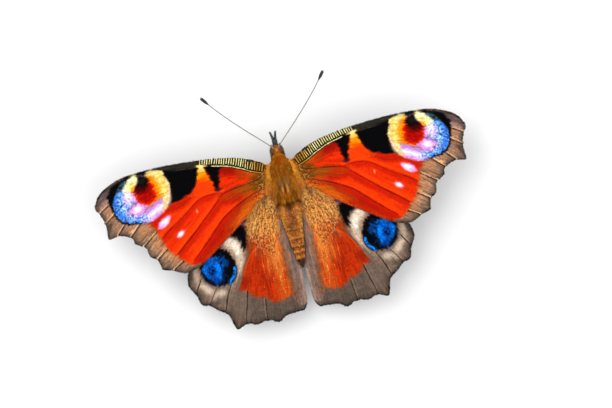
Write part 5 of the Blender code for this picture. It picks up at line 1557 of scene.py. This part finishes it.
ABDOMEN_MARKS = (
    ("thorax dark", 0.95, (0.0, -6.4), (0.72, 0.5)),
    ("tuft", 1.5, (1.18, -6.45), (0.26, 0.40)),
    ("abdomen dark", 0.55, (0.38, -8.0), (0.3, 0.5)),
    ("abdomen dark", 0.25, (0.0, -9.0), (0.30, 3.6)),
    ("abdomen bright", 1.5, (1.38, -8.3), (0.36, 1.05)),
    ("abdomen side", 0.9, (1.08, -10.8), (0.30, 1.2)),
)
DARK_RINGS = ((-9.05, 0.4), (-10.1, 0.8), (-11.75, 0.9), (-13.0, 1.0), (-14.15, 1.0))   # y and strength
BRIGHT_RINGS = (-9.75, -11.40, -12.65, -13.65, -14.55)


def paint_body(x, y, angle):
    """Colours of the body's fur, from above at 90 degrees to the belly at -90."""
    def spot(centre, radii):
        return np.exp(-((np.abs(x) - centre[0]) / radii[0]) ** 2 - ((y - centre[1]) / radii[1]) ** 2) * above

    paint = Layers("thorax", len(y))
    height = np.sin(angle)
    above = ramp(height, 0.0, 0.3)
    paint.lay("head", ramp(y, 2.9, 3.2))
    for name, strength, centre, radii in FRONT_MARKS:
        paint.lay(name, strength * spot(centre, radii))
    end = 5.75 + 0.35 * np.exp(-(x / 0.5) ** 2) + 0.5 * (noise(x, y, 0.3, 56) - 0.5)
    behind = ramp(-y - end, -0.3, 0.35)
    paint.lay("abdomen", behind)
    for name, strength, centre, radii in ABDOMEN_MARKS:
        paint.lay(name, strength * behind * spot(centre, radii))
    dots = ramp(np.cos(x * TURN / 0.40), -0.3, 0.5)
    for ring, strength in DARK_RINGS:
        paint.lay("abdomen dark", strength * (0.25 + 0.75 * dots) * np.exp(-((y - ring) / 0.16) ** 2))
    for ring in BRIGHT_RINGS:
        paint.lay("bright side", 0.5 * behind * np.exp(-((y - ring) / 0.15) ** 2) * above)
    paint.lay("abdomen dark", ramp(-y, 14.8, 15.1))
    paint.lay("belly", ramp(-height, 0.1, 0.6))
    strokes = noise(x, y * 0.22, 0.15, 53) + noise(x, y * 0.22, 0.3, 54) - 1.0
    rows = noise(x * 0.6, y, 0.16, 55) - 0.5
    rough = 0.26 + 0.24 * ramp(-y, 3.0, 4.0)
    paint.shade(rough * strokes * (1.0 - behind) + (0.25 * strokes + 0.55 * rows) * behind)
    return paint.colour


def closed_tube(rings):
    """Points, quads and end triangles of a tube through rings of equal count."""
    rows, sides, _ = rings.shape
    points = np.vstack((rings.reshape(-1, 3), rings[0].mean(axis=0), rings[-1].mean(axis=0)))
    i, k = (part.ravel() for part in np.meshgrid(np.arange(rows - 1), np.arange(sides), indexing="ij"))
    n = (k + 1) % sides
    quads = np.stack((i * sides + k, i * sides + n, (i + 1) * sides + n, (i + 1) * sides + k), axis=1)
    k = np.arange(sides)
    n = (k + 1) % sides
    end = rows * sides
    caps = np.vstack((np.stack((n, k, np.full(sides, end)), axis=1),
                      np.stack((end - sides + k, end - sides + n, np.full(sides, end + 1)), axis=1)))
    spread = rings[0][1] - rings[0][0]
    inward = np.cross(spread, rings[1][0] - rings[0][0])
    if np.dot(inward, rings[0][0] - rings[0].mean(axis=0)) < 0:
        quads, caps = quads[:, ::-1], caps[:, ::-1]
    return points, quads, caps


def make_body_skin(finish):
    """One skin from the head to the tail's end."""
    face = FACE_START + FACE_REACH * np.sin(np.linspace(math.pi / 2 * 0.985, 0.15, 12))
    rows = np.concatenate((face, np.arange(FACE_START, TAIL_SKIN, -0.12)))
    y, angle = (part.ravel() for part in np.meshgrid(rows, ring_angles(SKIN_SIDES), indexing="ij"))
    points, _, _ = body_point(y, angle)
    points, faces, caps = closed_tube(points.reshape(len(rows), SKIN_SIDES, 3))
    colours = paint_body(points[:, 0], points[:, 1], np.append(angle, (0.0, 0.0)))
    piece = make_piece("body_skin", points, (faces, caps), finish, colours * 0.75)
    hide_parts("head", "thorax", "abdomen")


def add_body_hair(name, finish, y, angle, sizes, spread, lift):
    """One piece of hair rooted at the given places of the body, in the colours of what it covers.
    sizes are its length, width and rise; lift is how far it stands off."""
    roots, normals, lie = body_point(y, angle)
    across = np.cross(normals, lie)
    swirl = rng.normal(0.0, spread, len(y)) + 0.5 * (noise(y * 3, angle * 3, 0.7, 51) - 0.5)
    along = lie + across * swirl[:, None] + normals * lift
    sizes = varied(sizes, ((0.6, 1.25), (0.7, 1.3), (0.5, 1.4)), len(y))
    points, faces = sow(roots, along, normals, sizes, HAIR)
    middle = roots + unit(along) * sizes[:, :1] * 0.6
    colours = paint_body(middle[:, 0], middle[:, 1], angle) * rng.normal(1.0, 0.10, len(y))[:, None]
    # Each hair is darker at its root as painted shade and lighter at its tip as painted light.
    colours = (colours[:, None, :] * HAIR_SHADE_TO_LIGHT[None, :, None]).reshape(-1, 3)
    piece = make_piece(name, points, (faces,), finish, colours, patch_uvs(body_unwrap(y, angle), HAIR))


def make_body_fur(name, finish, y_range, density, sizes, spread, lift):
    """Hair over a stretch of the body."""
    front, rear = y_range
    perimeter = TURN * float(np.mean(body_form(np.linspace(rear, front, 9))[0]))
    count = int(perimeter * (front - rear) * density)
    y = rng.uniform(rear, front, count) + rng.normal(0.0, 0.12, count)
    y = np.clip(y, -16.2, FACE_START)
    angle = rng.uniform(-math.pi, math.pi, count) + math.pi / 2
    add_body_hair(name, finish, y, angle, sizes, spread, lift)


def make_face_fur(finish):
    """Short hair over the rounded front of the head."""
    y = FACE_START + FACE_REACH * np.sin(rng.uniform(0.0, math.pi / 2 * 0.97, FACE_HAIRS))
    angle = rng.uniform(-math.pi, math.pi, FACE_HAIRS)
    add_body_hair("face_fur", finish, y, angle, (0.30, 0.05, 0.10), 0.30, 0.25)


def side_hair_colours(x, y):
    """Hair of the thorax's sides: bright orange ahead, golden brown behind it, orange at the rear."""
    count = len(x)
    stroke = noise(y * 0.4, x, 0.22, 52) + rng.normal(0.0, 0.12, count)
    # Ahead, the tufts' own bright orange, made brighter still as painted light where they are lit.
    fore = pick({"thorax side": 0.50, "bright side": 0.34, "thorax gold": 0.16}, count)
    middle = pick({"thorax gold": 0.44, "hair orange": 0.22, "hair tan": 0.16, "hair rust": 0.18}, count)
    rear = pick({"hair orange": 0.38, "hair gold": 0.20, "hair tan": 0.18, "hair rust": 0.24}, count)
    rear = recolour(rear, stroke < 0.36, ink("hair olive"))
    behind = -y + rng.normal(0.0, 0.25, count)
    colours = recolour(recolour(fore, behind > 2.3, middle), behind > 4.9, rear)
    for name, centre, radii in (("thorax dark", (1.58, -5.40), (0.28, 0.34)),
                                ("tuft", (1.20, -6.40), (0.20, 0.40))):
        reach = np.hypot((x - centre[0]) / radii[0], (y - centre[1]) / radii[1])
        colours = recolour(colours, reach + rng.normal(0.0, 0.12, count) < 1.0, ink(name))
    return colours * (0.88 + 0.24 * np.clip(stroke, 0.0, 1.0))[:, None]


def make_side_tufts(finish):
    """Long hair that flares from the thorax's sides over the roots of the wings."""
    count = SIDE_HAIRS
    y = rng.uniform(-6.9, 1.9, count)
    steep = 62.0 * rng.uniform(0.0, 1.0, count) ** 1.15
    angle = np.radians(np.where(y > -4.6, steep, steep * 0.72 - 8.0))
    roots, normals, lie = body_point(y, angle)
    spread = 0.45 + 0.22 * rng.normal(0.0, 1.0, count)
    outward = np.array((1.0, 0.0, 0.12))
    stripe = np.exp(-((roots[:, 0] + 0.35 - 2.15 + 0.22 * y) / 0.50) ** 2) * ramp(y, -3.3, -2.3)
    along = lie + outward[None, :] * np.clip(spread, 0.05, 1.0)[:, None] + normals * 0.12
    up = unit(normals + UP * (0.9 + 2.5 * stripe)[:, None])
    length = 1.10 * rng.uniform(0.6, 1.3, count)
    rise = 0.06 * rng.uniform(0.5, 1.4, count) * (1.0 - 0.85 * stripe)
    sizes = triples(length, 0.062 * rng.uniform(0.7, 1.3, count), rise)
    middle = roots + unit(along) * sizes[:, :1] * 0.6
    own = side_hair_colours(middle[:, 0], middle[:, 1])
    body = paint_body(middle[:, 0], middle[:, 1], angle)
    share = ramp(middle[:, 0] + 0.22 * rng.normal(0.0, 1.0, count), 1.40, 1.90)[:, None]
    colours = (body + (own - body) * share) * rng.normal(1.0, 0.10, count)[:, None]
    coat_sides("thorax_side_hair_{}", sow(roots, along, up, sizes, HAIR), HAIR, finish, colours,
               body_unwrap(y, angle))


def make_body():
    """Skin and fur of head, thorax and abdomen."""
    skin = painted("body_skin", 0.7, 0.10, 0.2, 0.4)
    fur = painted("body_fur", 0.65, 0.15, 0.10, 0.1, specular=0.08)
    make_body_skin(skin)
    make_face_fur(fur)
    make_body_fur("head_fur", fur, (3.85, 2.5), 360, (0.32, 0.05, 0.07), 0.30, 0.16)
    make_body_fur("collar_fur", fur, (2.6, 0.9), 260, (0.52, 0.05, 0.08), 0.16, 0.22)
    make_body_fur("thorax_fur", fur, (1.0, -5.5), 190, (0.66, 0.057, 0.09), 0.15, 0.24)
    make_body_fur("abdomen_fur", fur, (-5.3, -16.1), 225, (0.30, 0.052, 0.06), 0.20, 0.16)
    make_side_tufts(fur)


# ---------------------------------------------------------------- slender parts
def tube_frame(path):
    """Tangent, sideways and upward vectors along a path."""
    tangent = unit(np.gradient(path, axis=0))
    sideways = np.cross(tangent, UP)
    weak = np.linalg.norm(sideways, axis=1) < 0.05
    sideways[weak] = (1.0, 0.0, 0.0)
    sideways = unit(sideways)
    return tangent, sideways, np.cross(sideways, tangent)


def ring_rows(path, radii, sides, first, second):
    """Rings round a path; first and second are its cross-section's axes at each point."""
    angles = ring_angles(sides)
    return (path[:, None, :] + radii[:, None, None] * (np.cos(angles)[None, :, None] * first[:, None, :]
            + np.sin(angles)[None, :, None] * second[:, None, :]))


def tube(path, radii, sides, flatten=1.0):
    """A closed tube along a path, flattened or heightened by a share."""
    _, sideways, upward = tube_frame(path)
    return closed_tube(ring_rows(path, radii, sides, sideways, flatten * upward))


def tube_coat(path, radii, count, length, width, rise):
    """Roots, directions, normals, sizes and unwrap of bristles on a tube."""
    tangent, sideways, upward = tube_frame(path)
    spot = rng.uniform(0.0, len(path) - 1.001, count)
    row = spot.astype(int)
    part = (spot - row)[:, None]
    angle = rng.uniform(0.0, TURN, count)[:, None]
    normal = unit(np.cos(angle) * sideways[row] + np.sin(angle) * upward[row])
    radius = radii[row][:, None] * (1 - part) + radii[row + 1][:, None] * part
    roots = path[row] * (1 - part) + path[row + 1] * part + normal * radius * 0.96
    along = tangent[row] + normal * 0.25 + 0.15 * rng.normal(0.0, 1.0, (count, 3))
    sizes = triples(length * rng.uniform(0.7, 1.3, count), width, rise * rng.uniform(0.6, 1.4, count))
    return roots, along, normal, sizes, np.stack((angle[:, 0] / TURN, spot / (len(path) - 1)), axis=1)


def spaced(values, count):
    """Values read off at even spacing."""
    return np.interp(np.linspace(0, 1, count), np.linspace(0, 1, len(values)), values)


def make_eyes():
    """Domes of fine facets on the sides of the head."""
    finish = eye_finish()
    rise = np.sin(np.linspace(0.0, math.pi / 2 * 0.985, EYE_ROWS))
    angles = ring_angles(EYE_SIDES)
    radius = np.sqrt(1.0 - rise ** 2)
    rings = np.stack((np.repeat((EYE_BASE + EYE_DEPTH * rise)[:, None], EYE_SIDES, axis=1),
                      EYE_CENTRE[0] + EYE_RADII[0] * radius[:, None] * np.cos(angles)[None, :],
                      EYE_CENTRE[1] + EYE_RADII[1] * radius[:, None] * np.sin(angles)[None, :]), axis=-1)
    points, quads, caps = closed_tube(rings)
    mottle = 0.8 + 0.5 * noise(points[:, 1], points[:, 2], 0.3, 61)
    both_sides("eye_{}", points, (quads, caps), finish, ink("eye") * mottle[:, None],
               replaced=("eye_{}",))


def antenna_line():
    """The shaft's path from its seat to the tip, and each point's share of it."""
    start, tip = np.array(ANTENNA_SEAT), np.array(ANTENNA_TIP)
    start = start - unit(tip - start) * 0.5
    outward = unit(np.array((tip[1] - start[1], start[0] - tip[0], 0.0)))
    share = np.linspace(0.0, 1.0, ANTENNA_RINGS * 4 + 1)
    bow = 4.0 * share * (1.0 - share) * ANTENNA_BOW * np.sqrt(share)
    return start + (tip - start) * share[:, None] + outward * bow[:, None], share


def make_antennae():
    """Ringed shafts with a dark club and a pale tip."""
    finish = painted("antenna_scales", 0.5, 0.05, 0.15, 0.3)
    path, share = antenna_line()
    to_tip = (1.0 - share) * float(np.linalg.norm(path[-1] - path[0]))
    ring = np.abs(((share * ANTENNA_RINGS) % 1.0) - 0.5) * 2.0
    radii = ANTENNA_RADIUS * (0.90 + 0.16 * ring)
    club = ramp(-to_tip, -CLUB_LENGTH, -CLUB_LENGTH * 0.45)
    radii = radii * (1 - club) + CLUB_RADIUS * club * (0.97 + 0.03 * ring)
    radii = radii * np.sqrt(np.clip(to_tip / 0.32, 0.03, 1.0))
    points, quads, caps = tube(path, radii, TUBE_SIDES)
    colours = np.where((ring > 0.45)[:, None], ink("shaft"), ink("shaft dark"))
    colours = tint(colours, "club", ramp(-to_tip, -CLUB_LENGTH * 0.95, -CLUB_LENGTH * 0.7))
    colours = tint(colours, "club tip", ramp(-to_tip, -0.28, -0.14))
    colours = np.vstack((np.repeat(colours, TUBE_SIDES, axis=0), colours[:1], colours[-1:]))
    both_sides("antenna_{}", points, (quads, caps), finish, colours,
               replaced=("antenna_{}",))


def make_palps():
    """Two palps clothed in dark scales that point ahead."""
    finish = painted("palp_scales", 0.55, 0.06, 0.15, 0.3)
    path = curve(PALP_PATH, 0.15)
    radii = spaced(PALP_RADII, len(path)) * 0.8
    points, quads, caps = tube(path, radii, TUBE_SIDES, 1.25)
    colours = np.tile(ink("palp"), (len(points), 1))
    both_sides("palp_{}", points, (quads, caps), finish, colours, replaced=("palp_{}",))
    *coat, unwrap = tube_coat(path, radii, PALP_HAIRS, 0.30, 0.06, 0.07)
    colours = pick({"palp": 0.6, "palp grey": 0.22, "club": 0.18}, PALP_HAIRS)
    coat_sides("palp_hair_{}", sow(*coat, HAIR), HAIR, finish, colours, unwrap)


def make_proboscis():
    """The coiled tongue under the palps."""
    finish = painted("proboscis", 0.35, 0.05, 0.15, 0.3)
    turns = np.linspace(0.0, 1.0, 150)
    angle = math.pi * 0.55 - TURN * COIL_TURNS * turns
    radius = COIL_RADIUS * (1.0 - 0.78 * turns)
    path = triples(0.0, COIL_CENTRE[0] + radius * np.cos(angle), COIL_CENTRE[1] + radius * np.sin(angle))
    lead = curve((*COIL_LEAD, tuple(path[0])), 0.1)[:-1]
    path = np.vstack((lead, path))
    across = np.tile((1.0, 0.0, 0.0), (len(path), 1))
    outward = np.cross(across, unit(np.gradient(path, axis=0)))
    thick = COIL_THICKNESS * np.linspace(1.0, 0.55, len(path))
    points, quads, caps = closed_tube(ring_rows(path, thick, 12, 1.35 * across, outward))
    piece = make_piece("proboscis_coil", points, (quads, caps), finish, np.tile(ink("leg"), (len(points), 1)))
    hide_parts("proboscis")


# ---------------------------------------------------------------- legs
def leg_segment(start, end, radii, bow=0.0):
    """Path and radii of one leg segment, slightly bowed upwards and swollen at its ends."""
    share = np.linspace(0.0, 1.0, 15)
    path = np.array(start) + (np.array(end) - np.array(start)) * share[:, None]
    path[:, 2] += 4 * bow * share * (1 - share)
    return path, spaced(radii, len(path))


def tarsus_path(ankle, toe):
    """Five short joints along the floor."""
    share = np.linspace(0.0, 1.0, 26)
    path = np.array(ankle) + (np.array(toe) - np.array(ankle)) * share[:, None]
    joint = np.abs(((share * 5) % 1.0) - 0.5) * 2
    radii = 0.15 - 0.03 * share + 0.035 * joint ** 3
    path[:, 2] = np.maximum(path[:, 2] * (1 - share) ** 2 + radii, radii)
    return path, radii


def add_leg(name, parts, finish, nodes, hair=0.26):
    """One leg of several tubes joined in a mesh, with its coat of short hair."""
    points, quads, caps, colours, coats, first = [], [], [], [], [], 0
    for path, radii in parts:
        part_points, part_quads, part_caps = tube(path, radii, TUBE_SIDES)
        points.append(part_points)
        quads.append(part_quads + first)
        caps.append(part_caps + first)
        tone = noise(part_points[:, 0] + part_points[:, 1], part_points[:, 2], 0.25, 71)[:, None]
        colours.append(ink("leg") * (1 - 0.5 * tone) + ink("leg pale") * 0.5 * tone)
        first += len(part_points)
        span = float(np.sum(np.linalg.norm(np.diff(path, axis=0), axis=1)))
        coats.append(tube_coat(path, radii, int(LEG_HAIRS * span), hair, 0.050, 0.05))
    both_sides(name + "_{}", np.vstack(points), (np.vstack(quads), np.vstack(caps)), finish,
               np.vstack(colours), replaced=nodes)
    *coat, unwrap = (np.concatenate(column) for column in zip(*coats))
    points, faces = sow(*coat, HAIR)
    points[:, 2] = np.maximum(points[:, 2], FLOOR_GAP)
    shades = pick({"leg": 0.5, "leg pale": 0.25, "hair dark": 0.25}, len(unwrap))
    coat_sides(name + "_hair_{}", (points, faces), HAIR, finish, shades, unwrap)


def make_spines(name, parts, toe, ankle, finish):
    """Paired spines under the lower leg and two claws on the foot."""
    roots, along = [], []
    for path, radii in parts:
        tangent, sideways, _ = tube_frame(path)
        for row in range(3, len(path) - 1, 3):
            for sign in (1, -1):
                roots.append(path[row] + sideways[row] * radii[row] * 0.7 * sign)
                along.append(tangent[row] * 0.9 + sideways[row] * 0.55 * sign)
    forward = unit(np.array(toe) - np.array(ankle)) * (1, 1, 0)
    across = np.array((forward[1], -forward[0], 0.0))
    tip = parts[-1][0][-1]
    for sign in (1, -1):
        roots.append(tip + across * 0.05 * sign)
        along.append(forward + across * 0.35 * sign)
    sizes = np.tile((0.42, 0.07, 0.06), (len(roots), 1))
    sizes[-2:] = (0.34, 0.09, 0.10)
    points, faces = sow(np.array(roots), np.array(along), UP, sizes, HAIR)
    points[:, 2] = np.maximum(points[:, 2], FLOOR_GAP)
    both_sides(name, points, (faces,), finish, np.tile(ink("hair dark"), (len(points), 1)))


def make_legs():
    """Walking legs with scales, spines and claws, the coxae that carry them, and the brush forelegs."""
    finish = painted("leg_scales", 0.55, 0.05, 0.2, 0.4)
    for (name, (hip, knee, ankle, toe)), coxa in zip(LEGS.items(), COXAE):
        parts = [leg_segment(coxa, hip, (0.40, 0.42, 0.34)),
                 leg_segment(hip, knee, (0.24, 0.33, 0.30, 0.20), 0.15),
                 leg_segment(knee, ankle, (0.17, 0.20, 0.18, 0.14), 0.05),
                 tarsus_path(ankle, toe)]
        nodes = [f"leg_{name}_{part}_{{}}" for part in ("femur", "tibia", "tarsus")]
        add_leg(f"leg_{name}", parts, finish, nodes)
        make_spines(f"leg_{name}_spines_{{}}", parts[2:], toe, ankle, finish)
    path = curve(FORELEG, 0.15)
    radii = np.interp(np.linspace(0, 1, len(path)), (0, 0.3, 0.7, 1), (0.22, 0.20, 0.15, 0.06))
    add_leg("foreleg", [(path, radii)], finish, ["foreleg_{}"], hair=0.55)


# ---------------------------------------------------------------- stage
VIEW_CENTRE = (2.78, -6.31)      # plan point at the middle of the picture
VIEW_WIDTH = 100.9               # width of the view at the wings, in millimetres
VIEW_HEIGHT = 7.5                # height of the wings that this width holds for, in millimetres
VIEW_ROLL = 12.75                # degrees that the body leans to the left in the picture
CAMERA_DISTANCE = 0.6
SENSOR = 36.0
SURROUND = 0.80                  # strength of the white surround
FLOOR_REACH = 1.5                # half the floor's width
LAMPS = (("key", (-0.25, 0.25, 0.55), 0.55, 2.1), ("fill", (0.35, -0.25, 0.50), 0.65, 1.1))


def make_camera():
    """Straight down on the butterfly, rolled so that it leans as in the photograph."""
    lens = bpy.data.cameras.new("camera")
    lens.sensor_width = SENSOR
    lens.lens = SENSOR * CAMERA_DISTANCE / (VIEW_WIDTH * MM)
    lens.clip_start = 0.01
    camera = bpy.data.objects.new("camera", lens)
    spot = place((*VIEW_CENTRE, VIEW_HEIGHT))
    camera.location = (spot[0], spot[1], spot[2] + CAMERA_DISTANCE)
    camera.rotation_euler = (0.0, 0.0, -math.radians(VIEW_ROLL))
    bpy.context.scene.collection.objects.link(camera)
    bpy.context.scene.camera = camera


def make_light(name, location, size, watts):
    """A square soft light that looks at the butterfly."""
    lamp = bpy.data.lights.new(name, "AREA")
    lamp.size = size
    lamp.energy = watts
    light = bpy.data.objects.new(name, lamp)
    light.location = location
    light.rotation_euler = (-light.location).to_track_quat("-Z", "Y").to_euler()
    bpy.context.scene.collection.objects.link(light)


def make_stage():
    """A pale floor, a white surround and soft lamps."""
    scene = bpy.context.scene
    world = bpy.data.worlds.new("surround")
    world.use_nodes = True
    set_inputs(world.node_tree.nodes["Background"], Color=(1.0, 1.0, 1.0, 1.0), Strength=SURROUND)
    scene.world = world
    mesh = bpy.data.meshes.new("floor")
    corners = [(x * FLOOR_REACH, y * FLOOR_REACH, 0.0) for x, y in ((-1, -1), (1, -1), (1, 1), (-1, 1))]
    mesh.from_pydata(corners, [], [(0, 1, 2, 3)])
    floor = bpy.data.objects.new("floor", mesh)
    scene.collection.objects.link(floor)
    paper = bpy.data.materials.new("paper")
    paper.use_nodes = True
    set_inputs(paper.node_tree.nodes["Principled BSDF"], Base_Color=(0.93, 0.93, 0.93, 1.0), Roughness=0.95,
               Specular_IOR_Level=0.1)
    mesh.materials.append(paper)
    for lamp in LAMPS:
        make_light(*lamp)
    scene.view_settings.view_transform = "Standard"
    scene.view_settings.look = "None"


make_camera()
make_stage()
make_wings()
make_body()
make_eyes()
make_antennae()
make_palps()
make_proboscis()
make_legs()
